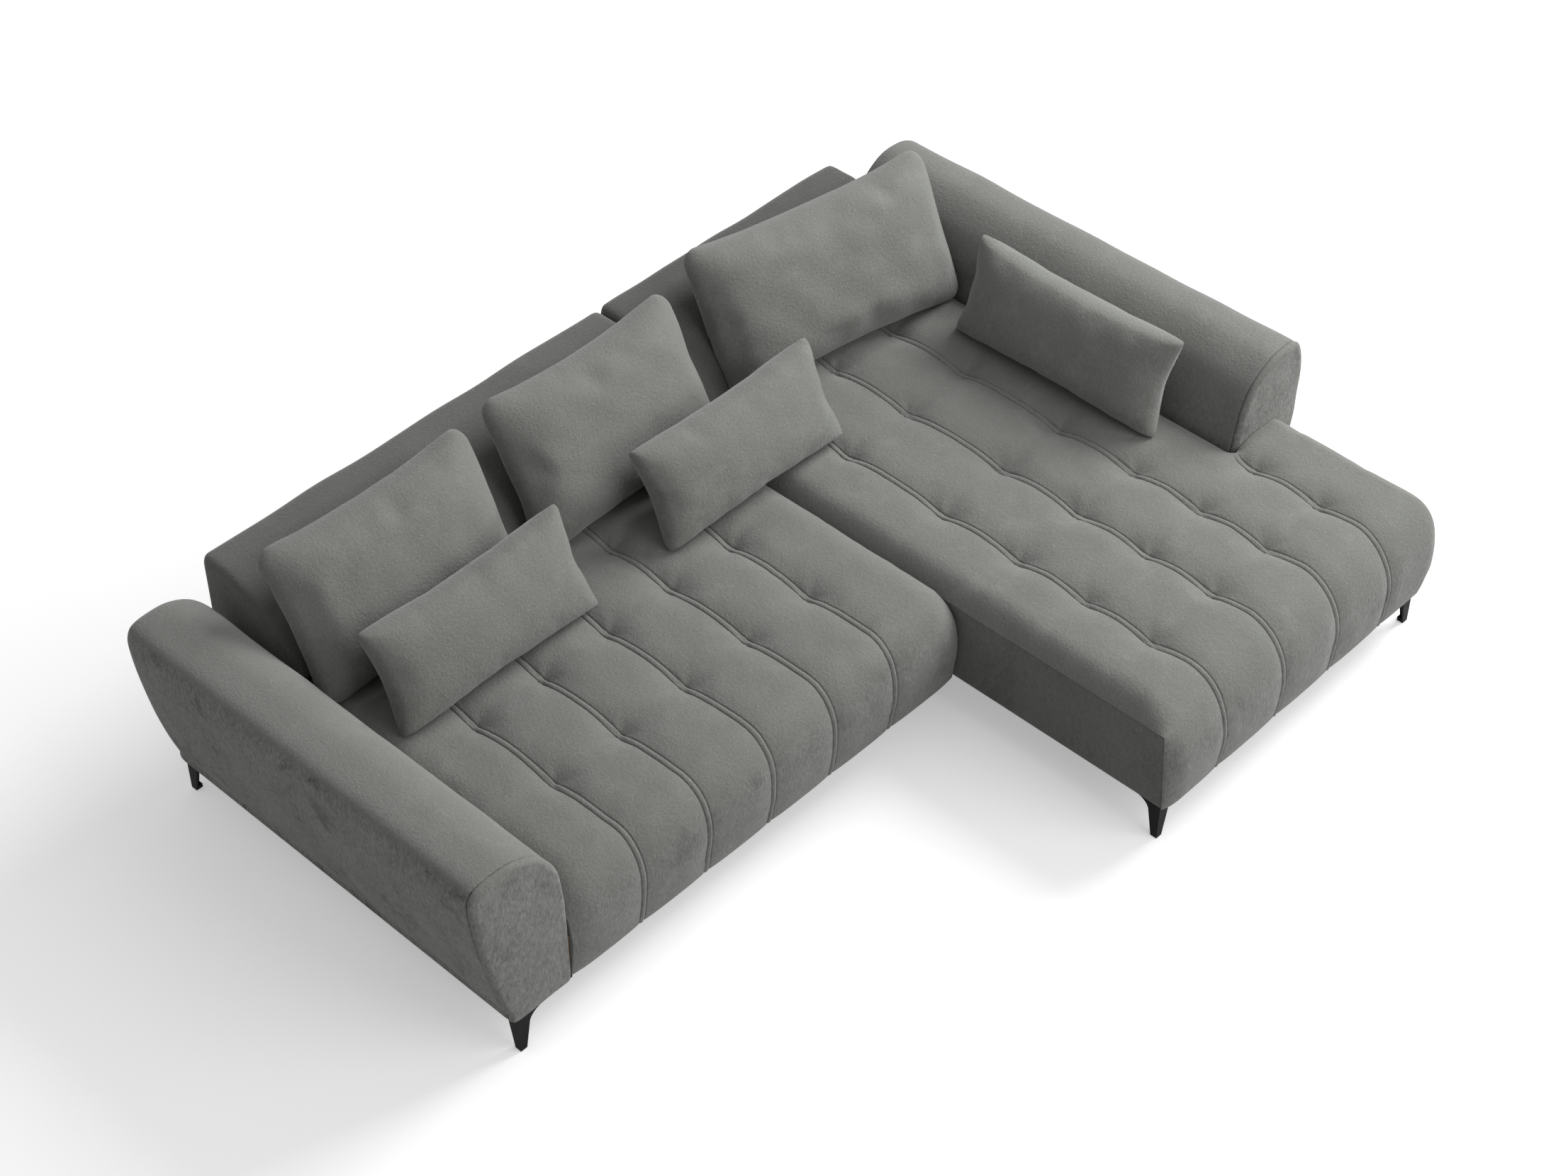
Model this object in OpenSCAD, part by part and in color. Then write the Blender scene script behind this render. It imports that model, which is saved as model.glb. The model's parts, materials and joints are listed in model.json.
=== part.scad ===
// Corner sofa: a two-seat module with the left arm and a chaise module with the right arm.
// +X runs along the back towards the chaise, -Y faces the sitter, +Z is up.
// The origin is on the floor, under the middle of the overall width and depth.

/* [Overall] */
// Overall width over both arms
sofa_w = 2867; // [2700:1:3100]
// Overall depth, from the chaise front to the back
sofa_d = 2010; // [1850:1:2200]
// Depth of the two-seat part, from its front to the back
main_d = 1327; // [1200:1:1400]
// Clear height under the upholstery
base_z = 128; // [110:1:150]

/* [Seat] */
// Height of the top of the seat pads
seat_h = 430; // [410:1:460]
// Width of the chaise between the module line and the right arm
chaise_w = 942; // [850:1:1050]
// How far the chaise pad runs out past the inner face of the right arm
wing_w = 233; // [215:1:240]
// Number of channels in the two-seat pad
main_channels = 6; // [4:1:8]
// Number of channels in the chaise pad
chaise_channels = 5; // [4:1:7]
// Distance from the front to each row of tufts on the two-seat pad
main_rows = [310, 602, 817];
// Distance from the front to each row of tufts on the chaise pad
chaise_rows = [250, 467, 704, 980, 1282, 1560];
// Depth of a channel seam below the pad's top
seam_sink = 25; // [10:1:30]
// Extra depth of a tuft below its seam
tuft_sink = 30; // [10:1:34]
// Radius of the dimple that a tuft pulls into the pad
tuft_reach = 105; // [70:1:120]
// Reach of the two-seat pad's rolled front edge, from front to back
main_roll = 112; // [90:1:150]
// Reach of the chaise pad's rolled front edge, from front to back
chaise_roll = 150; // [110:1:170]
// Height of the foam above the springs
foam_t = 156; // [140:1:170]
// Thickness of the padding in front of the front rails
front_pad_t = 30; // [24:1:45]
// Gap between the two-seat pad and the arm beside it
seat_gap = 3; // [1:1:14]
// Gap between the chaise pad and the arm that it goes round
arm_clear = 1; // [0.5:0.5:4]
// Gap between the two modules
module_gap = 8; // [4:1:14]

/* [Arms] */
// Width of an arm at its widest
arm_w = 277; // [240:1:300]
// Height of the arms
arm_h = 649; // [600:1:700]
// How far the left arm's front stands back from the two-seat pad's front
arm_setback = 16; // [0:1:40]
// Distance from the chaise front to the right arm's front
arm_to_front = 543; // [500:1:600]
// Distance from the back plane to the rear end of the arms
arm_inset = 52; // [30:1:80]
// Thickness of the seamed front panel of an arm
facing_t = 22; // [15:1:30]
// Rounding of the arm's rear end
arm_round = 40; // [20:1:60]

/* [Backrest] */
// Height of the backrest
back_h = 648; // [600:1:700]
// Thickness of the backrest below the seat's top
back_t = 292; // [240:1:320]
// Depth of the flat band along the top of the backrest
back_band = 90; // [60:1:110]
// How far the padded toe of the backrest reaches over the seat
back_toe = 68; // [40:1:90]
// Gap between a backrest end and the arm beside it
back_gap = 14; // [8:1:20]
// Gap between the two backrests
back_split = 4; // [2:1:8]

/* [Loose cushions] */
// Width of the two narrower back cushions
cushion_w = 660; // [600:1:690]
// Width of the back cushion on the chaise
wide_cushion_w = 812; // [760:1:830]
// Height of a back cushion along its lean
cushion_h = 446; // [400:1:480]
// Fullness of a back cushion in front of its seam plane
cushion_front = 108; // [90:1:120]
// Fullness of a back cushion behind its seam plane
cushion_rear = 88; // [70:1:100]
// Lean of the cushions and pillows from upright, in degrees
lean = 28; // [20:1:32]
// Turn of the wide back cushion in plan, in degrees
wide_turn = 9.5; // [0:0.5:12]
// Length of a lumbar pillow
pillow_w = 650; // [600:1:680]
// Length of the lumbar pillow on the arm
arm_pillow_w = 694; // [640:1:700]
// Height of a lumbar pillow
pillow_h = 292; // [260:1:320]
// Thickness of a lumbar pillow
pillow_t = 168; // [140:1:180]
// Lean of the pillow on the arm, in degrees
arm_pillow_lean = 19; // [10:1:22]
// Gap that lets a loose piece lift off
lift_gap = 0.4; // [0.3:0.1:1]

/* [Frame] */
// Thickness of the timber rails
rail_t = 25; // [18:1:32]
// Side of a corner block in the timber boxes
block_w = 80; // [70:1:90]
// Height of a corner block
block_h = 45; // [38:1:60]
// Thickness of the spring wire
wire_t = 4; // [3:0.5:5]
// Number of springs in the two-seat box
main_springs = 6; // [4:1:9]
// Number of springs in the chaise box
chaise_springs = 5; // [4:1:8]
// Thickness of the dust cover cloth
cloth_t = 1.5; // [1:0.5:3]
// Thickness of the arm and backrest boards
board_t = 18; // [12:1:24]
// Height of the base rails in the arms and backrests
base_rail_h = 40; // [30:1:60]
// Thickness of the side boxing of the chaise
boxing_t = 14; // [10:1:20]
// Height of the seam along the top of the side boxing
boxing_top = 375; // [350:1:390]

/* [Legs] */
// Width of a leg face at the floor
foot_w = 20; // [14:1:26]
// Width of a leg face where it starts to flare
leg_w = 34; // [26:1:44]
// Thickness of the leg's metal
leg_t = 5; // [3:0.5:8]
// Length of the wings that run along the edges
wing_l = 175; // [120:1:200]
// Side of the square screw plate
plate_w = 86; // [80:1:92]
// Thickness of the screw plate
plate_t = 4; // [3:0.5:6]
// Thickness of the felt glides
glide_t = 2; // [1:0.5:4]
// How far the leg corners stand in from the arm's outer side
leg_inset = 107; // [90:1:115]
// Diameter of an inner foot at its top
inner_foot_d = 48; // [40:1:60]
// Distance from the two-seat front to its front inner foot
main_foot_back = 230; // [180:1:300]
// Distance from the two-seat front to the chaise's front inner foot
chaise_foot_back = 330; // [260:1:380]
// Diameter of the stud in an inner foot
stud_d = 8; // [6:1:10]
// Length of the stud above an inner foot
stud_l = 30; // [20:1:40]
// Diameter of the screws
screw_d = 5; // [4:0.5:6]
// Length of the screws
screw_l = 34; // [25:1:45]
// Diameter of the screw heads
screw_head_d = 9; // [8:0.5:11]

/* [Hidden] */

fabric = [0.47, 0.48, 0.46];
timber = [0.78, 0.64, 0.44];
board = [0.66, 0.52, 0.36];
metal = [0.08, 0.08, 0.09];
steel = [0.72, 0.73, 0.75];
cloth = [0.12, 0.12, 0.13];
felt = [0.35, 0.35, 0.36];

// Main planes
y_back = sofa_d / 2;
y_front = -sofa_d / 2;
y_main = y_back - main_d;
x_in = sofa_w / 2 - arm_w;
x_div = x_in - chaise_w;
main_x0 = -x_in + seat_gap;
main_x1 = x_div - module_gap / 2;
chaise_x0 = x_div + module_gap / 2;
chaise_x1 = x_in + wing_w;
pad_rear = y_back - back_t - 3;
y_arm_rear = y_back - arm_inset;
y_left_arm = y_main + arm_setback;
y_right_arm = y_front + arm_to_front;
foam_z = seat_h - foam_t;
rail_top = foam_z - wire_t;
rail_z = base_z + cloth_t;
rail_h = rail_top - rail_z;

// Small general functions
function lerp(a, b, t) = a + (b - a) * t;
function clamp01(t) = max(0, min(1, t));
function sum_list(v, i = 0) = i >= len(v) ? 0 : v[i] + sum_list(v, i + 1);

// Smooth closed outline through a ring of points, with n points to each stretch
function cr_point(a, b, c, d, t) =
  0.5 * (2 * b + (c - a) * t + (2 * a - 5 * b + 4 * c - d) * t * t
    + (3 * b - a - 3 * c + d) * t * t * t);
function smooth_ring(p, n) = [
  for (i = [0 : len(p) - 1], k = [0 : n - 1])
    cr_point(p[(i + len(p) - 1) % len(p)], p[i], p[(i + 1) % len(p)], p[(i + 2) % len(p)], k / n)
];

// Faces of a skin over m rings of n points each
function skin_faces(m, n) = [
  for (i = [0 : m - 2], j = [0 : n - 1])
    let (a = i * n + j, b = i * n + (j + 1) % n)
      each [[a, a + n, b], [b, a + n, b + n]]
];
// Fan that closes ring i, round the extra point c
function fan(i, n, c, turn) = [
  for (j = [0 : n - 1])
    let (a = i * n + j, b = i * n + (j + 1) % n)
      turn ? [a, b, c] : [b, a, c]
];
function middle(ring) = [for (k = [0 : 2]) sum_list([for (p = ring) p[k]]) / len(ring)];
// Solid skinned over a list of rings, closed by a fan at each end
module skin(rings) {
  m = len(rings);
  n = len(rings[0]);
  points = [for (r = rings) each r, middle(rings[0]), middle(rings[m - 1])];
  polyhedron(
    points = points,
    faces = concat(skin_faces(m, n), fan(0, n, m * n, true), fan(m - 1, n, m * n + 1, false)),
    convexity = 8
  );
}

// Seat pads: front-to-back sections set side by side along X
main_roll_z = base_z + 157;
chaise_roll_z = base_z + 112;
roll_steps = 5;
hem_in = 22;
hem_rise = 45;
row_lead = 75;
row_step = 35;
channel_stops = [0, 0.08, 0.28, 0.5, 0.72, 0.92];
front_seam_sink = 8;
// Front of a section from the hem to the top of the roll, as [y, z, seam depth there]
function front_run(yf, roll_d, roll_z) = concat(
  [[yf + hem_in, base_z, 0], [yf + hem_in / 3, base_z + hem_rise, front_seam_sink]],
  [for (k = [0 : roll_steps])
    let (a = 90 * k / roll_steps)
      [yf + roll_d * (1 - cos(a)), roll_z + (seat_h - roll_z) * sin(a),
        lerp(front_seam_sink, seam_sink, sin(a))]]
);
// Stops along the top, at, beside and between the rows of tufts
function top_stops(rows, rear) = concat(
  [rows[0] - row_lead, rows[0] - row_step],
  [for (i = [0 : len(rows) - 1])
    each i < len(rows) - 1
      ? [rows[i], rows[i] + row_step, (rows[i] + rows[i + 1]) / 2, rows[i + 1] - row_step]
      : [rows[i], rows[i] + row_step]],
  [rear]
);
function top_run(yf, rows, rear) =
  [for (s = top_stops(rows, rear - yf)) [yf + s, seat_h, seam_sink]];
function base_run(yf, rows, rear, roll_d, roll_z) =
  concat(front_run(yf, roll_d, roll_z), top_run(yf, rows, rear));
// Outward slope of a run at point i, as a unit vector
function run_normal(run, i) =
  let (
    a = run[max(0, i - 1)],
    b = run[min(len(run) - 1, i + 1)],
    d = [b[0] - a[0], b[1] - a[1]]
  ) [-d[1], d[0]] / norm(d);
// Share of the seam's depth at share u of a channel: 1 on the seam, 0 in the middle
function puff(u) = pow(abs(2 * u - 1), 3);
// Share of the tuft's depth at distance d from it
function dimple(d) = pow(max(0, 1 - d / tuft_reach), 1.7);
function nearest(v, s) = min([for (t = v) abs(t - s)]);
// Depth of the pad's surface at share u of a channel of width w, s from the front
function sink_at(u, w, s, rows, depth, on_seam) =
  depth * puff(u)
  + (on_seam ? tuft_sink * dimple(norm([w * (0.5 - abs(u - 0.5)), nearest(rows, s)])) : 0);
// One section as a ring: the run, sunk by its depths, then the underside. Side sections are
// squeezed down to a share of their height over the roll, turned in and lifted
function pad_ring(x, yf, run, depths, unders, squeeze = 1, turn_in = 0, lift = 0) = concat(
  [for (i = [0 : len(run) - 1])
    let (
      q = [run[i][0], run[i][1]] - run_normal(run, i) * depths[i],
      z = q[1] > chaise_roll_z ? lerp(chaise_roll_z, q[1], squeeze) : q[1],
      y = q[0] + turn_in * clamp01(1 - (q[0] - yf) / chaise_roll)
    ) [x, y, i == 0 ? base_z + lift : z]],
  [for (k = [len(unders) - 1 : -1 : 0]) [x, unders[k], base_z + lift]]
);
// Stations across a pad, as [x, share of channel, whether it belongs to the pad's rolled end];
// the first channel starts "trim" further in, and "last" says that the pad ends after the last
function across(x0, w, count, trim, last) = concat(
  [for (c = [0 : count - 1], u = channel_stops)
    [x0 + (c + u) * w + (c == 0 ? trim * (1 - u) : 0), u,
      (c == 0 && u < 0.5) || (last && c == count - 1 && u > 0.5)]],
  [[x0 + count * w, 0, last]]
);
// Solid skinned over pad sections, with a flat cap at each end
module pad_skin(rings, run, unders) {
  m = len(rings);
  n = len(rings[0]);
  t = len(run);
  g = len(unders);
  // index of under point k within a ring, with k = -1 standing for the hem point
  function ui(k) = k < 0 ? 0 : t + g - 1 - k;
  near = [for (j = [0 : t - 1])
    j == t - 1 ? g - 1 : floor(clamp01((run[j][0] - run[0][0]) / (unders[g - 1] - run[0][0])) * g) - 1];
  cap = concat(
    [for (j = [0 : t - 2]) if (!(j == 0 && near[j] < 0)) [j, j + 1, ui(near[j])]],
    [for (j = [0 : t - 2])
      if (near[j + 1] > near[j])
        each [for (k = [near[j] : near[j + 1] - 1]) [j + 1, ui(k + 1), ui(k)]]]
  );
  last = (m - 1) * n;
  polyhedron(
    points = [for (r = rings) each r],
    faces = concat(
      [for (f = skin_faces(m, n)) [f[2], f[1], f[0]]],
      [for (f = cap) [f[2], f[1], f[0]]],
      [for (f = cap) [f[0] + last, f[1] + last, f[2] + last]]
    ),
    convexity = 8
  );
}
// Depth list of one station
function station_depths(st, w, yf, run, rows, end_sink) = [
  for (i = [0 : len(run) - 1])
    let (
      s = run[i][0] - yf,
      share = run[i][2] / seam_sink,
      deep = st[2] ? end_sink : seam_sink
    )
      i < 2 ? run[i][2] * puff(st[1]) : sink_at(st[1], w, s, rows, deep * share, !st[2])
];
function even_unders(run, rear, count) =
  [for (k = [1 : count]) lerp(run[0][0], rear, k / count)];

main_end_sink = 38;
main_w = (main_x1 - main_x0) / main_channels;
module left_seat_pad() {
  run = base_run(y_main, main_rows, pad_rear, main_roll, main_roll_z);
  unders = even_unders(run, pad_rear, 4);
  rings = [for (st = across(main_x0, main_w, main_channels, 0, true))
    pad_ring(st[0], y_main, run,
      station_depths(st, main_w, y_main, run, main_rows, main_end_sink), unders)];
  color(fabric)
    difference() {
      pad_skin(rings, run, unders);
      translate([main_x0 - 1, y_main + front_pad_t, base_z - 1])
        cube([main_x1 - main_x0 + 2, main_d, foam_z - base_z + 1]);
    }
}

// Chaise pad: the last channel lies in front of the arm and rolls down to the outer side
last_seam_out = 2;
chaise_pad_w = (x_in + last_seam_out - chaise_x0) / (chaise_channels - 1);
boxing_lip = 4;
chaise_end_sink = seat_h - boxing_top - boxing_lip;
side_turns = [25, 45, 62, 77, 90];
side_corner = 70;
side_lift = 24;
side_keep = 0.06;
side_fall = 1.9;
side_rail_x = chaise_x1 - 66;
function chaise_run() = base_run(y_front, chaise_rows, pad_rear, chaise_roll, chaise_roll_z);
function chaise_rings(run, unders) =
  [for (st = across(chaise_x0, chaise_pad_w, chaise_channels - 1, boxing_t, false))
    pad_ring(st[0], y_front, run,
      station_depths(st, chaise_pad_w, y_front, run, chaise_rows, chaise_end_sink), unders)];
module chaise_seat_pad() {
  run = chaise_run();
  unders = even_unders(run, pad_rear, 4);
  x0 = x_in + last_seam_out;
  w = chaise_x1 - x0;
  outer = [for (u = channel_stops) if (u > 0 && u <= 0.5)
    pad_ring(x0 + u * w, y_front, run,
      station_depths([x0, u, false], w, y_front, run, chaise_rows, 0), unders)];
  rolled = [for (a = side_turns)
    pad_ring(chaise_x1 - w / 2 * (1 - sin(a)), y_front, run, [for (q = run) 0], unders,
      lerp(side_keep, 1, pow(cos(a), side_fall)), side_corner * (1 - cos(a)),
      side_lift * pow(1 - cos(a), 2))];
  color(fabric)
    difference() {
      pad_skin(concat(chaise_rings(run, unders), outer, rolled), run, unders);
      // room for the frame and springs
      translate([chaise_x0 - 1, y_front + front_pad_t, base_z - 1])
        cube([side_rail_x - chaise_x0 + 1, sofa_d, foam_z - base_z + 1]);
      // room for the right arm
      translate([x_in - arm_clear, y_right_arm - arm_clear, base_z - 2])
        cube([wing_w + 2 * arm_clear, sofa_d, seat_h]);
    }
}

// The boxing has the outline of the pad's left end, cut off level under the pad's lip
module chaise_side_boxing() {
  run = chaise_run();
  end = chaise_rings(run, even_unders(run, pad_rear, 4))[0];
  color(fabric)
    translate([chaise_x0, 0, 0])
      rotate([90, 0, 90])
        linear_extrude(boxing_t)
          intersection() {
            polygon([for (p = end) [p[1], p[2]]]);
            translate([-sofa_d, 0])
              square([2 * sofa_d, boxing_top]);
          }
}

// Outlines of the left and right arm, as [distance out from the inner face, height]
left_arm_points = [
  [12, base_z], [0, base_z + 24], [0, base_z + 130], [2, arm_h - 265], [5, arm_h - 214],
  [17, arm_h - 129], [51, arm_h - 65], [90, arm_h - 28], [148, arm_h - 4], [205, arm_h],
  [250, arm_h - 5], [arm_w - 6, arm_h - 22], [arm_w, arm_h - 60], [arm_w - 9, arm_h - 160],
  [arm_w - 27, arm_h - 269], [arm_w - 56, base_z + 118], [arm_w - 86, base_z + 24],
  [arm_w - 100, base_z]
];
right_arm_points = [
  [12, base_z], [0, base_z + 24], [0, base_z + 130], [3, arm_h - 265], [9, arm_h - 214],
  [23, arm_h - 144], [51, arm_h - 77], [90, arm_h - 40], [144, arm_h - 13], [200, arm_h - 9],
  [240, arm_h - 19], [arm_w - 14, arm_h - 47], [arm_w - 3, arm_h - 90], [arm_w, arm_h - 165],
  [arm_w - 2, arm_h - 269], [arm_w - 30, base_z + 118], [arm_w - 66, base_z + 24],
  [arm_w - 88, base_z]
];
function arm_ring(points) =
  [for (p = smooth_ring(points, 2)) [max(0, min(arm_w, p[0])), max(base_z, p[1])]];
arm_core_x = (arm_w - 60) / 2;
// Ring of an arm's outline at depth y, drawn in by d at the sides and the top
function arm_section(points, y, d) = [
  for (p = arm_ring(points))
    let (k = [1 - 2 * d / arm_w, 1 - d / (arm_h - base_z)])
      [arm_core_x + (p[0] - arm_core_x) * k[0], y, base_z + (p[1] - base_z) * k[1]]
];
base_rail_x = [24, 170];
board_x = 92;
top_rail_x = [74, 150];
top_rail_z = arm_h - 100;
top_rail_h = 30;
arm_end_wood = 60;
base_rail_in = 24;
facing_back = 4;
// Rounding of a pad's end, as [share of the way in, share of the depth]
end_round = [[1, 0], [0.45, 0.16], [0.12, 0.52], [0, 1]];
// Soft edge of a facing, as [distance from its front, how far it is drawn in]
facing_edge = [[0, 15], [5, 5], [14, 0]];
// Timber core of an arm that runs from y0 to y1
module arm_base_block(y0, y1) {
  front = y0 + facing_t + facing_back;
  translate([base_rail_x[0], front, base_z])
    cube([base_rail_x[1] - base_rail_x[0], y1 - base_rail_in - front, base_rail_h]);
}
module arm_board_block(y0, y1) {
  translate([board_x, y0 + arm_end_wood, base_z + base_rail_h])
    cube([board_t, y1 - y0 - 2 * arm_end_wood, top_rail_z - base_z - base_rail_h]);
}
module arm_top_block(y0, y1) {
  translate([top_rail_x[0], y0 + arm_end_wood, top_rail_z])
    cube([top_rail_x[1] - top_rail_x[0], y1 - y0 - 2 * arm_end_wood, top_rail_h]);
}
module arm_pad(points, y0, y1) {
  difference() {
    skin(concat([arm_section(points, y0 + facing_t, 0)],
      [for (r = end_round) arm_section(points, y1 - arm_round * r[0], arm_round * r[1])]));
    translate([0, 0, -1])
      arm_base_block(y0, y1);
    arm_base_block(y0, y1);
    arm_board_block(y0, y1);
    arm_top_block(y0, y1);
  }
}
module arm_facing(points, y0) {
  skin(concat([for (e = facing_edge) arm_section(points, y0 + e[0], e[1])],
    [arm_section(points, y0 + facing_t, 0)]));
}
module left_side() {
  translate([-x_in, 0, 0])
    mirror([1, 0, 0])
      children();
}
module right_side() {
  translate([x_in, 0, 0])
    children();
}
module left_arm_pad() {
  color(fabric) left_side() arm_pad(left_arm_points, y_left_arm, y_arm_rear);
}
module left_arm_facing() { color(fabric) left_side() arm_facing(left_arm_points, y_left_arm); }
module left_arm_base_rail() {
  color(timber)
    difference() {
      left_side()
        arm_base_block(y_left_arm, y_arm_rear);
      leg_pilots([0, 1]);
    }
}
module left_arm_board() { color(board) left_side() arm_board_block(y_left_arm, y_arm_rear); }
module left_arm_top_rail() { color(timber) left_side() arm_top_block(y_left_arm, y_arm_rear); }
module right_arm_pad() {
  color(fabric) right_side() arm_pad(right_arm_points, y_right_arm, y_arm_rear);
}
module right_arm_facing() { color(fabric) right_side() arm_facing(right_arm_points, y_right_arm); }
module right_arm_base_rail() {
  color(timber)
    difference() {
      right_side()
        arm_base_block(y_right_arm, y_arm_rear);
      leg_pilots([4]);
    }
}
module right_arm_board() { color(board) right_side() arm_board_block(y_right_arm, y_arm_rear); }
module right_arm_top_rail() { color(timber) right_side() arm_top_block(y_right_arm, y_arm_rear); }

// Backrest outline, as [y, z], going round from the rear foot
toe_y = y_back - back_t - back_toe;
toe_z = seat_h + 6;
slope_bow = 34;
slope_steps = 6;
slope_a = [toe_y, toe_z + 16];
slope_b = [y_back - back_band, back_h];
// Point of the bowed front slope at share t, pushed forward by g
function slope_point(t, g) =
  let (
    d = slope_b - slope_a,
    out = [-d[1], d[0]] / norm(d)
  ) slope_a + d * t + out * (slope_bow * 4 * t * (1 - t) + g);
back_outline = concat(
  [[y_back, base_z], [y_back, (base_z + back_h) / 2], [y_back, back_h - 16], [y_back - 4, back_h - 4],
    [y_back - 16, back_h]],
  [for (k = [slope_steps : -1 : 0]) slope_point(k / slope_steps, 0)],
  [[toe_y + 8, toe_z], [y_back - back_t, toe_z], [y_back - back_t, base_z]]
);
back_core_y = y_back - back_t / 2;
function back_section(x, d) = [
  for (p = back_outline)
    let (k = [1 - 2 * d / (back_t + back_toe), 1 - d / (back_h - base_z)])
      [x, back_core_y + (p[0] - back_core_y) * k[0], base_z + (p[1] - base_z) * k[1]]
];
back_round = 26;
// Rounding of a backrest's ends, as [share of the way in, share of the depth]
back_ends = [[0, 1], [0.2, 0.4], [1, 0]];
back_skin_t = 12;
back_wood_in = 40;
back_wood_drop = 50;
back_rail_in = 12;
back_top_rail = [70, 40];
function back_x(side) = side < 0
  ? [-x_in + back_gap, x_div - back_split / 2]
  : [x_div + back_split / 2, x_in - back_gap];
module back_board_block(side) {
  x = back_x(side);
  translate([x[0] + back_wood_in, y_back - back_skin_t - board_t, base_z])
    cube([x[1] - x[0] - 2 * back_wood_in, board_t, back_h - base_z - back_wood_drop]);
}
back_wood_y = y_back - back_skin_t - board_t;
module back_base_block(side) {
  x = back_x(side);
  y0 = y_back - back_t + back_rail_in;
  translate([x[0] + back_wood_in, y0, base_z])
    cube([x[1] - x[0] - 2 * back_wood_in, back_wood_y - y0, base_rail_h]);
}
module back_top_block(side) {
  x = back_x(side);
  z0 = back_h - back_wood_drop - back_top_rail[1];
  translate([x[0] + back_wood_in, back_wood_y - back_top_rail[0], z0])
    cube([x[1] - x[0] - 2 * back_wood_in, back_top_rail[0], back_top_rail[1]]);
}
module back_rail_blocks(side) {
  back_base_block(side);
  back_top_block(side);
}
module backrest_pad(side) {
  x = back_x(side);
  difference() {
    skin(concat(
      [for (r = back_ends) back_section(x[0] + back_round * r[0], back_round * r[1])],
      [for (i = [len(back_ends) - 1 : -1 : 0])
        back_section(x[1] - back_round * back_ends[i][0], back_round * back_ends[i][1])]));
    back_board_block(side);
    back_rail_blocks(side);
    translate([0, 0, -1]) {
      back_board_block(side);
      back_base_block(side);
    }
  }
}
module left_backrest_pad() { color(fabric) backrest_pad(-1); }
module right_backrest_pad() { color(fabric) backrest_pad(1); }
module left_back_board() { color(board) back_board_block(-1); }
module right_back_board() { color(board) back_board_block(1); }
module left_back_rails() { color(timber) back_rail_blocks(-1); }
module right_back_rails() { color(timber) back_rail_blocks(1); }

// Cushions: a front and a rear sheet, full in the middle and sewn round the edge
seam_t = 3;
function even_stops(n) = [for (i = [0 : n]) sin(-90 + 180 * i / n) * 0.8 + (-1 + 2 * i / n) * 0.2];
// Corner rounding: pulls the square's corners in, more for a smaller power
function round_pull(u, v, power) =
  max(abs(u), abs(v)) < 0.001 ? 1
    : max(abs(u), abs(v)) / pow(pow(abs(u), power) + pow(abs(v), power), 1 / power);
function cushion_point(u, v, w, h, power, draw, full, edge) =
  let (
    k = round_pull(u, v, power),
    x = w / 2 * u * k * (1 - draw * (1 - v * v) * u * u),
    z = h / 2 * v * k * (1 - draw * (1 - u * u) * v * v),
    f = pow(max(0, (1 - pow(abs(u), 2.6)) * (1 - pow(abs(v), 2.6))), edge)
  ) [x, full * f + (full > 0 ? seam_t / 2 : -seam_t / 2), z];
module cushion(w, h, front, rear, form) {
  power = form[0];
  draw = form[1];
  edge = form[2];
  nu = form[3];
  nv = form[4];
  us = even_stops(nu);
  vs = even_stops(nv);
  sheet = (nu + 1) * (nv + 1);
  points = concat(
    [for (v = vs, u = us) cushion_point(u, v, w, h, power, draw, -front, edge)],
    [for (v = vs, u = us) cushion_point(u, v, w, h, power, draw, rear, edge)]
  );
  function at(i, j) = j * (nu + 1) + i;
  faces = concat(
    [for (j = [0 : nv - 1], i = [0 : nu - 1]) each
      [[at(i, j), at(i, j + 1), at(i + 1, j)], [at(i + 1, j), at(i, j + 1), at(i + 1, j + 1)]]],
    [for (j = [0 : nv - 1], i = [0 : nu - 1]) each
      [[sheet + at(i, j), sheet + at(i + 1, j), sheet + at(i, j + 1)],
        [sheet + at(i + 1, j), sheet + at(i + 1, j + 1), sheet + at(i, j + 1)]]],
    [for (i = [0 : nu - 1]) each
      [[at(i, 0), at(i + 1, 0), sheet + at(i, 0)],
        [at(i + 1, 0), sheet + at(i + 1, 0), sheet + at(i, 0)],
        [at(i, nv), sheet + at(i, nv), at(i + 1, nv)],
        [at(i + 1, nv), sheet + at(i, nv), sheet + at(i + 1, nv)]]],
    [for (j = [0 : nv - 1]) each
      [[at(0, j), sheet + at(0, j), at(0, j + 1)],
        [at(0, j + 1), sheet + at(0, j), sheet + at(0, j + 1)],
        [at(nu, j), at(nu, j + 1), sheet + at(nu, j)],
        [at(nu, j + 1), sheet + at(nu, j + 1), sheet + at(nu, j)]]]
  );
  polyhedron(points = points, faces = faces, convexity = 4);
}
// Places a cushion by the foot of its seam plane at the seat, leaning back by a degrees
module leaning(x, y, turn, a, h, sunk) {
  translate([x, y, seat_h])
    rotate([0, 0, turn])
      rotate([-a, 0, 0])
        translate([0, 0, h / 2 - sunk])
          children();
}
module below_seat() {
  translate([-sofa_w, -sofa_d, seat_h + lift_gap - sofa_d])
    cube([2 * sofa_w, 2 * sofa_d, sofa_d]);
}
// The backrests' front, stood forward by the lifting gap; under the toe it follows the lean
module backrest_room() {
  rotate([90, 0, 90])
    translate([0, 0, -sofa_w / 2])
      linear_extrude(sofa_w)
        polygon(concat(
          [[y_back, base_z], [y_back, back_h + 2 * lift_gap]],
          [for (k = [slope_steps : -1 : 0]) slope_point(k / slope_steps, 2 * lift_gap)],
          [slope_point(0, 2 * lift_gap) - [(slope_a[1] - seat_h) * tan(lean), slope_a[1] - seat_h]],
          [[slope_a[0], base_z]]
        ));
}
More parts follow.
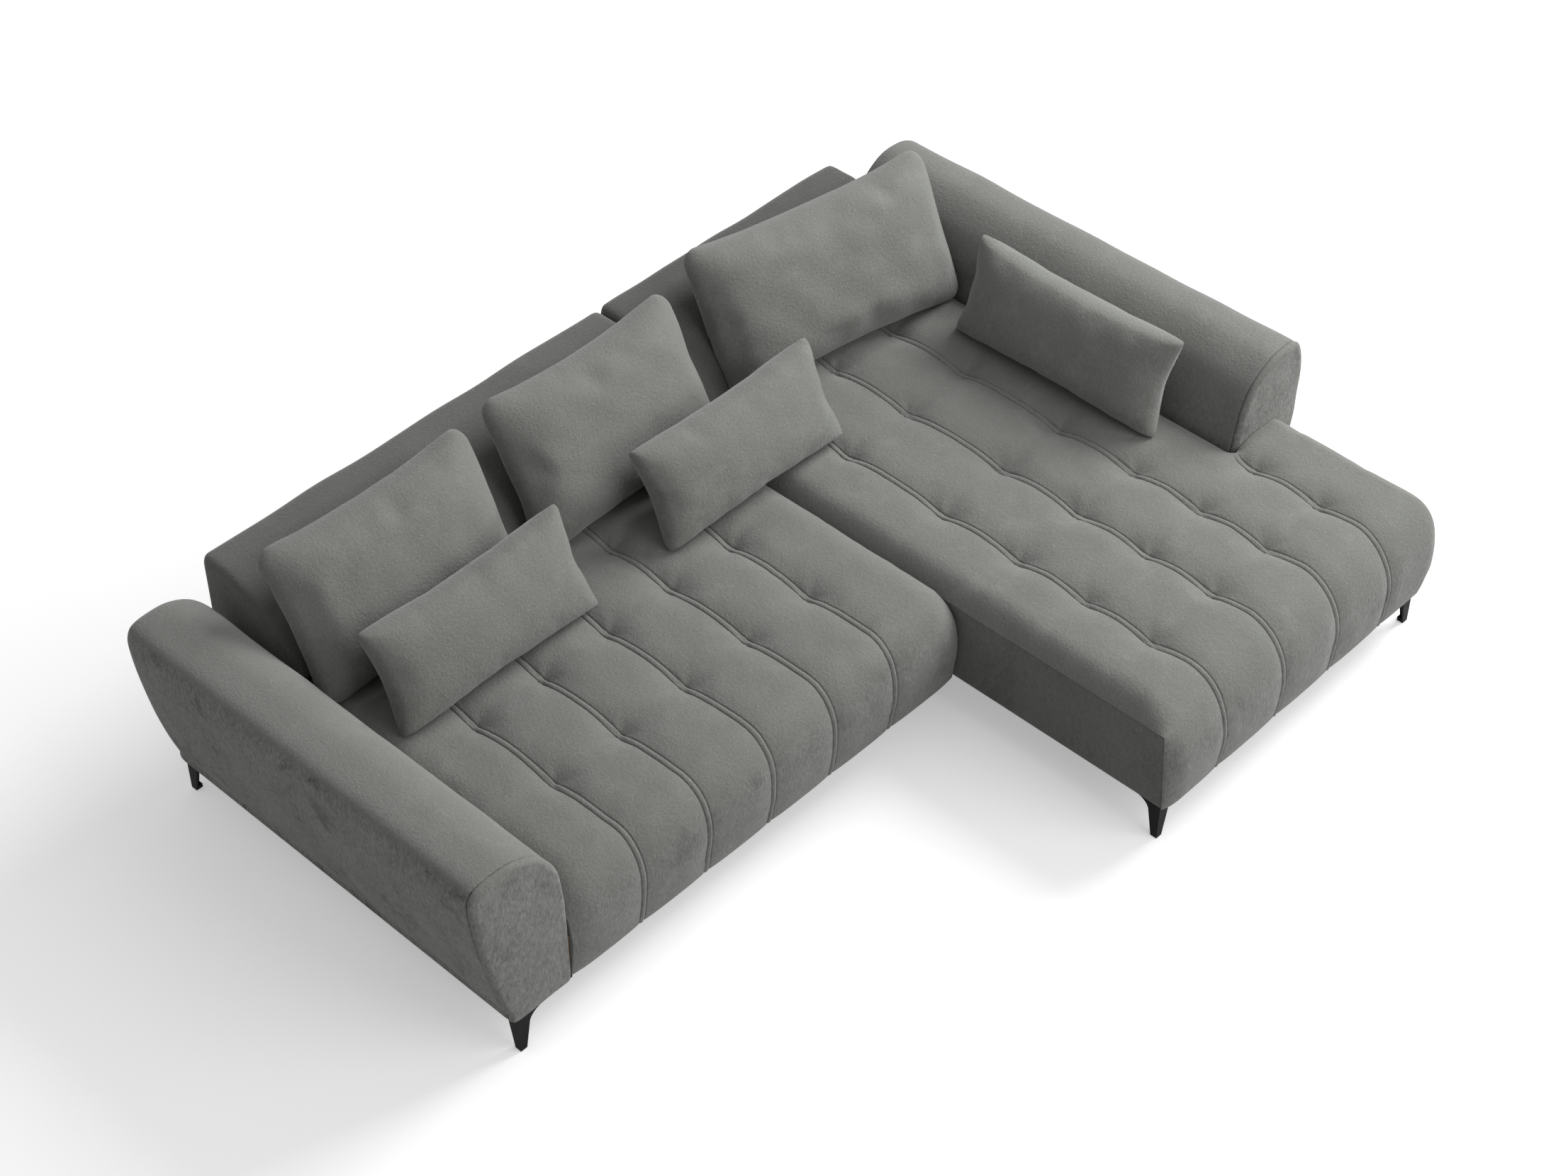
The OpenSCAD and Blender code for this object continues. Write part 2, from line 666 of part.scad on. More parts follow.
// Corner power, draw-in of the sides, edge power and cells across and up
cushion_form = [9, 0.035, 0.42, 12, 9];
cushion_sunk = 17;
wide_extra = 12;
cushion_foot = y_back - back_t - 151;
middle_foot = cushion_foot + 18;
wide_foot = cushion_foot + 30;
module back_cushion(x, y, turn, w, front) {
  difference() {
    leaning(x, y, turn, lean, cushion_h, cushion_sunk)
      cushion(w, cushion_h, front, cushion_rear, cushion_form);
    below_seat();
    backrest_room();
  }
}
cushion_side = 8;
cushion_apart = 77;
left_cushion_x = -x_in + cushion_w / 2 + cushion_side;
middle_cushion_x = left_cushion_x + cushion_w + cushion_apart;
wide_cushion_x = x_in - wide_cushion_w / 2 + 5;
module back_cushion_left() {
  color(fabric) back_cushion(left_cushion_x, cushion_foot, 0, cushion_w, cushion_front);
}
module back_cushion_middle() {
  color(fabric) back_cushion(middle_cushion_x, middle_foot, 0, cushion_w, cushion_front);
}
module back_cushion_right() {
  color(fabric)
    back_cushion(wide_cushion_x, wide_foot, -wide_turn, wide_cushion_w, cushion_front + wide_extra);
}

pillow_form = [60, 0.045, 0.55, 12, 8];
pillow_sunk = 2;
pillow_y = cushion_foot - 222;
module lumbar(x, y, turn, a, w) {
  difference() {
    leaning(x, y, turn, a, pillow_h, pillow_sunk)
      cushion(w, pillow_h, pillow_t / 2, pillow_t / 2, pillow_form);
    below_seat();
  }
}
left_pillow_x = left_cushion_x + 55;
middle_pillow_x = middle_cushion_x + 226;
arm_pillow_x = x_in - pillow_t / 2 - 46;
arm_pillow_y = y_right_arm + arm_pillow_w / 2 + 181;
module lumbar_pillow_left() {
  color(fabric) lumbar(left_pillow_x, pillow_y, 0, lean, pillow_w);
}
module lumbar_pillow_middle() {
  color(fabric) lumbar(middle_pillow_x, pillow_y, 0, lean, pillow_w);
}
module lumbar_pillow_arm() {
  color(fabric) lumbar(arm_pillow_x, arm_pillow_y, -90, arm_pillow_lean, arm_pillow_w);
}

// Seat boxes
main_box_x0 = -x_in;
main_box_x1 = main_x1 - 4;
main_box_y0 = y_main + front_pad_t;
chaise_box_x0 = chaise_x0 + boxing_t;
chaise_box_y0 = y_front + front_pad_t;
module rail(x0, x1, y0, y1) {
  translate([x0, y0, rail_z])
    cube([x1 - x0, y1 - y0, rail_h]);
}
module left_front_rail() {
  color(timber) rail(main_box_x0, main_box_x1, main_box_y0, main_box_y0 + rail_t);
}
module left_rear_rail() {
  color(timber) rail(main_box_x0, main_box_x1, pad_rear - rail_t, pad_rear);
}
cross_drop = 20;
module left_cross_rails() {
  run = main_box_x1 - main_box_x0 - rail_t;
  color(timber)
    difference() {
      for (i = [0 : 5])
        translate([main_box_x0 + run * i / 5, main_box_y0 + rail_t, rail_z])
          cube([rail_t, pad_rear - main_box_y0 - 2 * rail_t,
            i == 0 || i == 5 ? rail_h : rail_h - cross_drop]);
      link_pilots();
    }
}
// Blocks in the timber box that the feet and legs are screwed to
module block(x, y) {
  translate([x, y, rail_z])
    cube([block_w, block_w, block_h]);
}
module left_corner_blocks() {
  color(timber)
    difference() {
      for (i = [0, 1])
        block(inner_spots[i][0] - block_w / 2, inner_spots[i][1] - block_w / 2);
      stud_pilots();
    }
}
module chaise_corner_blocks() {
  y = chaise_box_y0 + rail_t;
  color(timber)
    difference() {
      union() {
        for (i = [2, 3])
          block(inner_spots[i][0] - block_w / 2, inner_spots[i][1] - block_w / 2);
        block(chaise_box_x0 + rail_t, y);
        block(side_rail_x - rail_t - block_w, y);
      }
      stud_pilots();
      leg_pilots([2, 3]);
    }
}
module chaise_front_rail() {
  color(timber) rail(chaise_box_x0, side_rail_x, chaise_box_y0, chaise_box_y0 + rail_t);
}
module chaise_rear_rail() {
  color(timber) rail(chaise_box_x0, x_in, pad_rear - rail_t, pad_rear);
}
module chaise_left_rail() {
  color(timber)
    difference() {
      rail(chaise_box_x0, chaise_box_x0 + rail_t, chaise_box_y0 + rail_t, pad_rear - rail_t);
      link_pilots();
    }
}
module chaise_right_rail() {
  color(timber) rail(x_in - rail_t, x_in, chaise_box_y0 + rail_t, pad_rear - rail_t);
}
module chaise_cross_rails() {
  run = pad_rear - chaise_box_y0 - rail_t;
  color(timber)
    for (i = [1 : 5])
      translate([chaise_box_x0 + rail_t, chaise_box_y0 + run * i / 6, rail_z])
        cube([x_in - chaise_box_x0 - 2 * rail_t, rail_t, rail_h - cross_drop]);
}
module chaise_wing_frame() {
  y0 = chaise_box_y0 + rail_t;
  y1 = y_right_arm - 1;
  color(timber)
    union() {
      rail(side_rail_x - rail_t, side_rail_x, y0, y1);
      rail(x_in, side_rail_x - rail_t, y1 - rail_t, y1);
    }
}

// Zigzag springs: wire bent into an even wave and laid flat
wave_n = 9;
wave_amp = 24;
// Middle line of the wire, a straight run between flat bends
function wave_line(l) = concat(
  [[0, 0]],
  [for (i = [0 : wave_n - 1], t = [[1, 1], [2, 1], [4, -1], [5, -1]])
    [wave_amp * t[1], l * (i + t[0] / 6) / wave_n]],
  [[0, l]]
);
function unit(v) = v / norm(v);
// The line moved sideways by d, with mitred bends
function wire_side(line, d) = [
  for (i = [0 : len(line) - 1])
    let (
      j = max(i, 1),
      k = min(i, len(line) - 2),
      a = unit(line[j] - line[j - 1]),
      b = unit(line[k + 1] - line[k])
    ) line[i] + [-(a[1] + b[1]), a[0] + b[0]] * d / (1 + a * b)
];
module zigzag(l) {
  line = wave_line(l - 2 * wire_t);
  left = wire_side(line, -wire_t / 2);
  right = wire_side(line, wire_t / 2);
  translate([0, wire_t, 0])
    linear_extrude(wire_t)
      polygon(concat(left, [for (i = [len(right) - 1 : -1 : 0]) right[i]]));
}
module left_seat_springs() {
  l = pad_rear - main_box_y0;
  pitch = (main_box_x1 - main_box_x0) / main_springs;
  color(steel)
    for (i = [0 : main_springs - 1])
      translate([main_box_x0 + pitch * (i + 0.5), main_box_y0, rail_top])
        zigzag(l);
}
module chaise_seat_springs() {
  l = pad_rear - chaise_box_y0;
  pitch = (x_in - chaise_box_x0) / chaise_springs;
  color(steel)
    for (i = [0 : chaise_springs - 1])
      translate([chaise_box_x0 + pitch * (i + 0.5), chaise_box_y0, rail_top])
        zigzag(l);
}

// Legs, each given by its outer corner and the way its two wings run
leg_x = sofa_w / 2 - leg_inset;
leg_end_in = 11;
leg_side_in = 14;
leg_front_in = 40;
leg_spots = [
  [-leg_x, y_left_arm + leg_end_in, 1, 1], [-leg_x, y_arm_rear - leg_end_in, 1, -1],
  [chaise_x0 + leg_side_in, y_front + leg_front_in, 1, 1], [leg_x, y_front + leg_front_in, -1, 1],
  [leg_x, y_arm_rear - leg_end_in, -1, -1]
];
flare = [50, 38];
flare_z = base_z - 50;
tip_h = 5;
ridge_cut = 5;
module leg_face() {
  rotate([90, 0, 0])
    mirror([0, 0, 1])
      linear_extrude(leg_t)
        polygon(concat(
          [[0, glide_t], [foot_w, glide_t]],
          [for (a = [0 : 15 : 90])
            [leg_w + flare[0] * (1 - cos(a)), flare_z + flare[1] * sin(a)]],
          [[wing_l, base_z - tip_h], [wing_l, base_z], [0, base_z]]
        ));
}
hole_in = 40;
hole_edge = 12;
hole_spots = [[hole_in, hole_in], [plate_w - hole_edge, hole_in], [hole_in, plate_w - hole_edge]];
plate_hole_d = screw_d + 0.6;
pilot_d = screw_d + 0.2;
// Pilot holes for the screws of the named legs
module leg_pilots(legs) {
  for (i = legs)
    at_leg(i)
      for (h = hole_spots)
        translate([leg_t + h[0], leg_t + h[1], base_z - 1])
          cylinder(h = screw_l, d = pilot_d, $fn = 24);
}
module corner_leg() {
  difference() {
    union() {
      leg_face();
      mirror([1, -1, 0])
        leg_face();
      translate([leg_t, leg_t, base_z - plate_t])
        cube([plate_w, plate_w, plate_t]);
      translate([0, 0, glide_t])
        cube([foot_w, foot_w, 10]);
    }
    rotate([0, 0, 45])
      translate([-ridge_cut, -50, 0])
        cube([2 * ridge_cut, 100, 3 * base_z], center = true);
    for (h = hole_spots)
      translate([leg_t + h[0], leg_t + h[1], base_z - 2 * plate_t])
        cylinder(h = 3 * plate_t, d = plate_hole_d, $fn = 24);
  }
}
module at_leg(i) {
  s = leg_spots[i];
  translate([s[0], s[1], 0])
    mirror([s[2] < 0 ? 1 : 0, 0, 0])
      mirror([0, s[3] < 0 ? 1 : 0, 0])
        children();
}
module leg_front_left() { color(metal) at_leg(0) corner_leg(); }
module leg_rear_left() { color(metal) at_leg(1) corner_leg(); }
module leg_chaise_left() { color(metal) at_leg(2) corner_leg(); }
module leg_chaise_right() { color(metal) at_leg(3) corner_leg(); }
module leg_rear_right() { color(metal) at_leg(4) corner_leg(); }

// Inner feet beside the module line, each held by a stud
main_foot_x = main_box_x1 - rail_t - block_w / 2;
chaise_foot_x = chaise_box_x0 + rail_t + block_w / 2;
rear_foot_y = pad_rear - rail_t - block_w / 2;
inner_spots = [
  [main_foot_x, y_main + main_foot_back], [main_foot_x, rear_foot_y],
  [chaise_foot_x, y_main + chaise_foot_back], [chaise_foot_x, rear_foot_y]
];
module inner_foot(i) {
  color(metal)
    translate([inner_spots[i][0], inner_spots[i][1], 0]) {
      translate([0, 0, glide_t])
        cylinder(h = base_z - glide_t, d1 = inner_foot_d * 0.75, d2 = inner_foot_d, $fn = 48);
      translate([0, 0, base_z - 1])
        cylinder(h = stud_l + 1, d = stud_d, $fn = 32);
    }
}
module stud_pilots() {
  for (s = inner_spots)
    translate([s[0], s[1], base_z - 1])
      cylinder(h = stud_l + 2, d = stud_d + 0.4, $fn = 32);
}
module inner_foot_1() { inner_foot(0); }
module inner_foot_2() { inner_foot(1); }
module inner_foot_3() { inner_foot(2); }
module inner_foot_4() { inner_foot(3); }
module felt_glides() {
  color(felt) {
    for (i = [0 : len(leg_spots) - 1])
      at_leg(i)
        difference() {
          cube([foot_w, foot_w, glide_t]);
          rotate([0, 0, 45])
            translate([-ridge_cut, -50, 0])
              cube([2 * ridge_cut, 100, 3 * base_z], center = true);
        }
    for (s = inner_spots)
      translate([s[0], s[1], 0])
        cylinder(h = glide_t, d = inner_foot_d * 0.75, $fn = 48);
  }
}

// Screws, standing up through a plate whose underside is at height z
module screw(z) {
  translate([0, 0, z - screw_head_d * 0.3])
    cylinder(h = screw_head_d * 0.3, d = screw_head_d, $fn = 24);
  translate([0, 0, z])
    cylinder(h = screw_l, d = screw_d, $fn = 24);
}
module leg_screws() {
  color(steel)
    for (i = [0 : len(leg_spots) - 1])
      at_leg(i)
        for (h = hole_spots)
          translate([leg_t + h[0], leg_t + h[1], 0])
            screw(base_z - plate_t);
}
link_front = 180;
link_rear = 250;
link_spots = [y_main + link_front, pad_rear - link_rear];
link_pitch = 36;
link_x = [main_box_x1 - rail_t / 2, chaise_box_x0 + rail_t / 2];
link_reach = 18;
// Puts its children at every screw of the link plates
module at_links() {
  for (y = link_spots, x = link_x, dy = [-link_pitch / 2, link_pitch / 2])
    translate([x, y + dy, 0])
      children();
}
module link_pilots() {
  at_links()
    translate([0, 0, base_z - 1])
      cylinder(h = screw_l, d = pilot_d, $fn = 24);
}
module module_link_plates() {
  color(steel)
    difference() {
      for (y = link_spots)
        translate([link_x[0] - link_reach, y - link_pitch / 2 - link_reach, base_z - plate_t])
          cube([link_x[1] - link_x[0] + 2 * link_reach, link_pitch + 2 * link_reach, plate_t]);
      at_links()
        translate([0, 0, base_z - 2 * plate_t])
          cylinder(h = 3 * plate_t, d = plate_hole_d, $fn = 24);
    }
}
module link_screws() {
  color(steel)
    at_links()
      screw(base_z - plate_t);
}
module left_dust_cover() {
  color(cloth)
    difference() {
      translate([main_box_x0, main_box_y0, base_z])
        cube([main_box_x1 - main_box_x0, pad_rear - main_box_y0, cloth_t]);
      stud_pilots();
      link_pilots();
    }
}
module chaise_dust_cover() {
  color(cloth)
    difference() {
      union() {
        translate([chaise_box_x0, chaise_box_y0, base_z])
          cube([x_in - chaise_box_x0, pad_rear - chaise_box_y0, cloth_t]);
        translate([x_in - 1, chaise_box_y0, base_z])
          cube([side_rail_x - x_in + 1, y_right_arm - 1 - chaise_box_y0, cloth_t]);
      }
      stud_pilots();
      link_pilots();
      leg_pilots([2, 3]);
    }
}

left_seat_pad();
chaise_seat_pad();
chaise_side_boxing();
left_arm_pad();
left_arm_facing();
right_arm_pad();
right_arm_facing();
left_backrest_pad();
right_backrest_pad();
back_cushion_left();
back_cushion_middle();
back_cushion_right();
lumbar_pillow_left();
lumbar_pillow_middle();
lumbar_pillow_arm();
left_front_rail();
left_rear_rail();
left_cross_rails();
chaise_front_rail();
chaise_rear_rail();
chaise_left_rail();
chaise_right_rail();
chaise_cross_rails();
chaise_wing_frame();
left_corner_blocks();
chaise_corner_blocks();
left_seat_springs();
chaise_seat_springs();
left_dust_cover();
chaise_dust_cover();
left_arm_base_rail();
left_arm_board();
left_arm_top_rail();
right_arm_base_rail();
right_arm_board();
right_arm_top_rail();
left_back_board();
left_back_rails();
right_back_board();
right_back_rails();
leg_front_left();
leg_rear_left();
leg_chaise_left();
leg_chaise_right();
leg_rear_right();
inner_foot_1();
inner_foot_2();
inner_foot_3();
inner_foot_4();
leg_screws();
felt_glides();
module_link_plates();
link_screws();
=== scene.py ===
import json
import math

import bpy
import numpy as np
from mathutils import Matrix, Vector


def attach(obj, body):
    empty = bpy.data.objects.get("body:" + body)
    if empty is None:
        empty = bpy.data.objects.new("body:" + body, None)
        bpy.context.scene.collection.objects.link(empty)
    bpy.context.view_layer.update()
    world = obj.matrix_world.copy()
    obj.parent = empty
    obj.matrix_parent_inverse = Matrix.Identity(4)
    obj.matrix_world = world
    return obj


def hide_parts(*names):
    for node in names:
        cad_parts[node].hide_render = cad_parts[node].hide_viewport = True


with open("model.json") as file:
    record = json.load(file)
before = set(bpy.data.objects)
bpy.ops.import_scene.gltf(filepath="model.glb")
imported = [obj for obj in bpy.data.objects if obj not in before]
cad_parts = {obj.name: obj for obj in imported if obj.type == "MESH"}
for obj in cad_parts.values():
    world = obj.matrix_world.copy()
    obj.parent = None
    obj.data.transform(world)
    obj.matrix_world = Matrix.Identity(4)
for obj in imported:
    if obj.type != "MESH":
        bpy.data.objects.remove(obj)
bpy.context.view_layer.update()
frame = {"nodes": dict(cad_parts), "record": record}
scene = bpy.context.scene
scene.view_settings.view_transform = "Standard"
MM = 0.001

# Camera: worked out from the photograph's vanishing points, in metres and degrees
CAMERA_PLACE = (-4.0779, -3.7507, 5.645)
CAMERA_DOWN = 43.421
CAMERA_TURN = -46.589
cam_data = bpy.data.cameras.new("camera")
cam_data.sensor_fit = "HORIZONTAL"
cam_data.sensor_width = 36.0
cam_data.lens = 68.71
cam_data.clip_end = 100.0
camera = bpy.data.objects.new("camera", cam_data)
camera.location = CAMERA_PLACE
camera.rotation_euler = (math.radians(90 - CAMERA_DOWN), 0, math.radians(CAMERA_TURN))
scene.collection.objects.link(camera)
scene.camera = camera

# Main planes of the part, in millimetres
X_IN = 1156.5
CHAISE_X0 = 218.5
CHAISE_X1 = 1389.5
MAIN_X0 = -1153.5
MAIN_X1 = 210.5
Y_BACK = 1005.0
Y_FRONT = -1005.0
Y_MAIN = -322.0
PAD_REAR = 710.0
Y_ARM_REAR = 953.0
Y_LEFT_ARM = -306.0
Y_RIGHT_ARM = -462.0
SEAT = 430.0
BASE = 128.0
ARM_H = 649.0
ARM_W = 277.0
BACK_H = 648.0
BACK_T = 292.0
BACK_BAND = 90.0
BACK_TOE = 68.0


def field(p, size, seed, waves=20):
    """A smooth random field of about unit spread, with features about size mm across."""
    r = np.random.RandomState(seed)
    d = r.normal(size=(waves, 3))
    d /= np.linalg.norm(d, axis=1)[:, None]
    k = 2 * np.pi / (size * r.uniform(0.7, 1.6, waves))
    ph = r.uniform(0, 2 * np.pi, waves)
    out = np.zeros(p.shape[:-1])
    for i in range(waves):
        out += np.sin(p @ d[i] * k[i] + ph[i])
    return out * math.sqrt(2 / waves)


def make(name, verts, faces, sharp=50):
    """A smooth-shaded mesh object from vertices in mm."""
    mesh = bpy.data.meshes.new(name)
    mesh.from_pydata((np.asarray(verts) * MM).tolist(), [], [list(map(int, f)) for f in faces])
    mesh.validate()
    mesh.shade_smooth()
    mesh.set_sharp_from_angle(angle=math.radians(sharp))
    obj = bpy.data.objects.new(name, mesh)
    scene.collection.objects.link(obj)
    return obj


def shell(name, outer, inner, keep=None):
    """Closed shell between two grids of points of the same size; keep masks the cells."""
    m, n = outer.shape[:2]
    if keep is None:
        keep = np.ones((m - 1, n - 1), bool)
    idx = np.arange(m * n).reshape(m, n)
    i, j = np.nonzero(keep)
    a, b, c, d = idx[i, j], idx[i, j + 1], idx[i + 1, j + 1], idx[i + 1, j]
    top = np.stack([a, b, c, d], 1)
    low = np.stack([d, c, b, a], 1) + m * n
    edges = {}
    for q in top.tolist():
        for k in range(4):
            e = (q[k], q[(k + 1) % 4])
            if (e[1], e[0]) in edges:
                del edges[(e[1], e[0])]
            else:
                edges[e] = True
    wall = [[e[1], e[0], e[0] + m * n, e[1] + m * n] for e in edges]
    verts = np.concatenate([outer.reshape(-1, 3), inner.reshape(-1, 3)])
    faces = top.tolist() + low.tolist() + wall
    used = np.unique(np.array(faces))
    remap = np.full(len(verts), -1)
    remap[used] = np.arange(len(used))
    return make(name, verts[used], remap[np.array(faces)])


def curve_part(a, b, c, d, n):
    """n points of the Catmull-Rom curve through four points, from b to just before c."""
    return [0.5 * (2 * b + (c - a) * t + (2 * a - 5 * b + 4 * c - d) * t * t
                   + (3 * b - a - 3 * c + d) * t ** 3) for t in np.arange(n) / n]


def spline(points, n):
    """Open Catmull-Rom curve through points, n steps to a stretch."""
    p = np.asarray(points, float)
    p = np.vstack([2 * p[0] - p[1], p, 2 * p[-1] - p[-2]])
    out = []
    for k in range(1, len(p) - 2):
        out += curve_part(*p[k - 1:k + 3], n)
    out.append(p[-2])
    return np.array(out)


def closed(points, n):
    """Closed Catmull-Rom ring through points."""
    p = np.asarray(points, float)
    out = []
    for k in range(len(p)):
        out += curve_part(*np.roll(p, 1 - k, axis=0)[:4], n)
    return np.array(out)


def resample(p, step):
    """The same open curve in even steps of about step mm."""
    d = np.r_[0, np.cumsum(np.linalg.norm(np.diff(p, axis=0), axis=1))]
    s = np.linspace(0, d[-1], int(round(d[-1] / step)) + 1)
    return np.stack([np.interp(s, d, p[:, k]) for k in range(p.shape[1])], 1)


def even_ring(p, step):
    """The same closed ring in even steps of about step mm."""
    return resample(np.vstack([p, p[:1]]), step)[:-1]


# Seat pads: depths of seams and tufts, and their places as measured in the photograph
SEAM_SINK = 9.0
SEAM_FRONT = 7.0
TUFT_SINK = 21.0
TUFT_LONG = 66.0
TUFT_WIDE = 52.0
VALLEY = 3.0
STRIP = 9.5
GROOVE_AT = 8.4
GROOVE_REACH = 16.0
FOLD_DEEP = 1.7
FOLD_AT = 22.0
MAIN_SEAM0 = -1146.5
MAIN_PITCH = 221.8
MAIN_ROWS = (313, 586, 800)
CHAISE_SEAMS = (432.0, 676.0, 906.0, 1133.0)
CHAISE_ROWS = (257, 469, 692, 949, 1290, 1560)
# Rows of a pad's section, its skin, and how deep it rolls down at its free ends
FRONT_ROWS = 56
ROW_STEP = 8.5
UNDER_ROLL = 250
HEM_H = 60
PAD_TOP_T = 78
PAD_SIDE_T = 26
INNER_HEM = 14
END_ROLL = 38.0
END_FRONT = 14.0


def front_profile(yf, reach, roll_z, power, top, hem):
    """The pad's section as (y, z), from the hem up and over the roll."""
    z = np.linspace(BASE, roll_z, 22)
    y = yf + hem * ((roll_z - z) / (roll_z - BASE)) ** 2.2
    a = np.linspace(0, np.pi / 2, 40)[1:]
    ry = yf + reach * (1 - np.cos(a) ** (2 / power))
    rz = roll_z + (top - roll_z) * np.sin(a) ** (2 / power)
    return np.concatenate([np.stack([y, z], 1), np.stack([ry, rz], 1)])


def section_rows(yf, reach, roll_z, power, top, hem, stops):
    """Rows of a pad section: FRONT_ROWS round the front, then the given y stops on the top."""
    front = resample(front_profile(yf, reach, roll_z, power, top, hem), 1.0)
    k = np.linspace(0, len(front) - 1, FRONT_ROWS).round().astype(int)
    return np.concatenate([front[k], np.stack([stops, np.full(len(stops), top)], 1)])


def seam_columns(x0, x1):
    """Column offsets of one channel, close together at both seams."""
    near = np.array([0, 2.4, 4.6, 6.2, 7.4, 8.4, 9.4, 10.8, 13, 17, 23, 31, 41, 53, 67, 82, 98])
    w = x1 - x0
    half = near[near < w / 2 - 8]
    return np.concatenate([x0 + half, [x0 + w / 2], x1 - half[:0:-1]])


def groove(d):
    """Twin stitched lines with a raised strip between them."""
    line = np.exp(-((np.abs(d) - GROOVE_AT) / 1.3) ** 2)
    strip = np.exp(-(d / 5.2) ** 2)
    return 3.2 * line - 2.4 * strip


def tuft_depth(x, s, q, row, turn):
    """Dimple that the tuft of seam q pulls in at a row, with folds running out from it."""
    d, dy = np.abs(x - q), s - row
    r = np.hypot(d, dy)
    pull = TUFT_SINK * np.exp(-(np.abs(dy) / TUFT_LONG) ** 1.6 - (d / TUFT_WIDE) ** 1.5)
    ripple = np.cos(5 * np.arctan2(dy, x - q) + q * 0.37 + turn)
    fold = FOLD_DEEP * ripple * (r / FOLD_AT) * np.exp(1 - r / FOLD_AT)
    return pull + fold * (r > 1)


def pad_depth(x, s, z, seams, rows, channel, ends, seed, stop=None):
    """How far the pad's surface sinks at plan place (x, s), and along its front. The last
    seam dies out at the distance stop from the front."""
    high = np.clip((z - UNDER_ROLL) / (SEAT - UNDER_ROLL), 0, 1)
    low = np.clip((z - BASE) / HEM_H, 0, 1)
    deep = SEAM_FRONT * (0.35 + 0.65 * low) + (SEAM_SINK - SEAM_FRONT) * high ** 1.5
    out = np.zeros_like(x)
    tuft = np.zeros_like(x)
    lasting = {q: 1.0 for q in seams}
    if stop is not None:
        lasting[seams[-1]] = np.clip((stop - s) / 30, 0, 1)
    for q in seams:
        d = np.abs(x - q)
        flank = np.clip(1 - np.maximum(d - STRIP, 0) / (channel / 2 - STRIP), 0, 1)
        out = np.maximum(out, deep * flank ** 3.2 * lasting[q])
        for k, row in enumerate(rows):
            tuft = np.maximum(tuft, tuft_depth(x, s, q, row, k) * lasting[q])
    valley = np.zeros_like(x)
    for row in rows:
        valley = np.maximum(valley, VALLEY * np.exp(-((s - row) / 26) ** 2))
    out = out + tuft * high + valley * high
    for q in seams:
        near = np.abs(x - q) < GROOVE_REACH
        out = out + groove(x - q) * near * (0.55 + 0.45 * low) * lasting[q]
    for x_end, sign, d_top, d_front in ends:
        d = sign * (x - x_end)
        e = d_front * (0.4 + 0.6 * low) + (d_top - d_front) * high ** 1.3
        roll = e * np.clip(1 - d / (channel / 2), 0, 1) ** 3
        near = (d < channel / 2) & (d >= -1)
        out = np.where(near, roll + valley * high * np.clip(d / 60, 0, 1), out)
    p = np.stack([x, s, z], -1)
    return out + 0.9 * field(p, 170, seed) * low + 0.35 * field(p, 55, seed + 1) * low


def normals_2d(rows):
    """Unit normals along a section, pointing out of the pad."""
    t = np.gradient(rows, axis=0)
    t /= np.linalg.norm(t, axis=1)[:, None]
    return np.stack([-t[:, 1], t[:, 0]], 1)


# Two-seat pad: reach, lower height and roundness of its front roll, and its hem
MAIN_ROLL = 112
MAIN_ROLL_Z = 285
MAIN_POWER = 2.2
MAIN_HEM = 22


def main_pad():
    """Two-seat pad: its skin over the section rows and the seams' columns."""
    stops = np.append(np.arange(Y_MAIN + MAIN_ROLL + 9, PAD_REAR - 4, ROW_STEP), PAD_REAR)
    rows = section_rows(Y_MAIN, MAIN_ROLL, MAIN_ROLL_Z, MAIN_POWER, SEAT, MAIN_HEM, stops)
    seams = [MAIN_SEAM0 + MAIN_PITCH * k for k in range(1, 6)]
    edges = [MAIN_X0] + seams + [MAIN_X1]
    cols = [MAIN_X0]
    for a, b in zip(edges, edges[1:]):
        cols += seam_columns(a, b).tolist()[1:]
        cols.append(b)
    cols = np.unique(np.array(cols).round(3))
    n2 = normals_2d(rows)
    x = np.broadcast_to(cols[None, :], (len(rows), len(cols)))
    y = np.broadcast_to(rows[:, :1], x.shape)
    z = np.broadcast_to(rows[:, 1:], x.shape)
    ends = [(MAIN_X0, 1, END_ROLL, END_FRONT), (MAIN_X1, -1, END_ROLL, END_FRONT)]
    d = pad_depth(x, y - Y_MAIN, z, seams, MAIN_ROWS, MAIN_PITCH, ends, 5)
    outer = np.stack([x, y - n2[:, :1] * d, z - n2[:, 1:] * d], -1)
    outer[..., 2] = np.clip(outer[..., 2], BASE, SEAT - 0.5)
    rows_in = section_rows(Y_MAIN + PAD_SIDE_T, MAIN_ROLL - PAD_SIDE_T, MAIN_ROLL_Z - 25,
                           MAIN_POWER, SEAT - PAD_TOP_T, INNER_HEM, stops)
    inner = np.stack([x, np.broadcast_to(rows_in[:, :1], x.shape),
                      np.broadcast_to(rows_in[:, 1:], x.shape)], -1)
    return shell("seat_pad_left", outer, inner)


# Chaise pad: it rolls over the front and over the outer side in front of the arm
SIDE = [(115.5, 430), (84, 430), (51, 411), (27, 368), (13, 324), (6, 285), (1, 248), (0, 214),
        (1.5, 180), (5, 151), (14, 134), (27, 128)]
CORNER = 84.0
CORNER_LOW = 215.0
NOTCH_X = 1155.5
NOTCH_Y = Y_RIGHT_ARM - 1
LAST_SEAM = CHAISE_SEAMS[-1]
CHAISE_CHANNEL = (LAST_SEAM - CHAISE_X0) / 4
CHAISE_ROLL = 150
CHAISE_ROLL_Z = 240
CHAISE_POWER = 2.15
CHAISE_HEM = 16
WING_FULL = 4.0
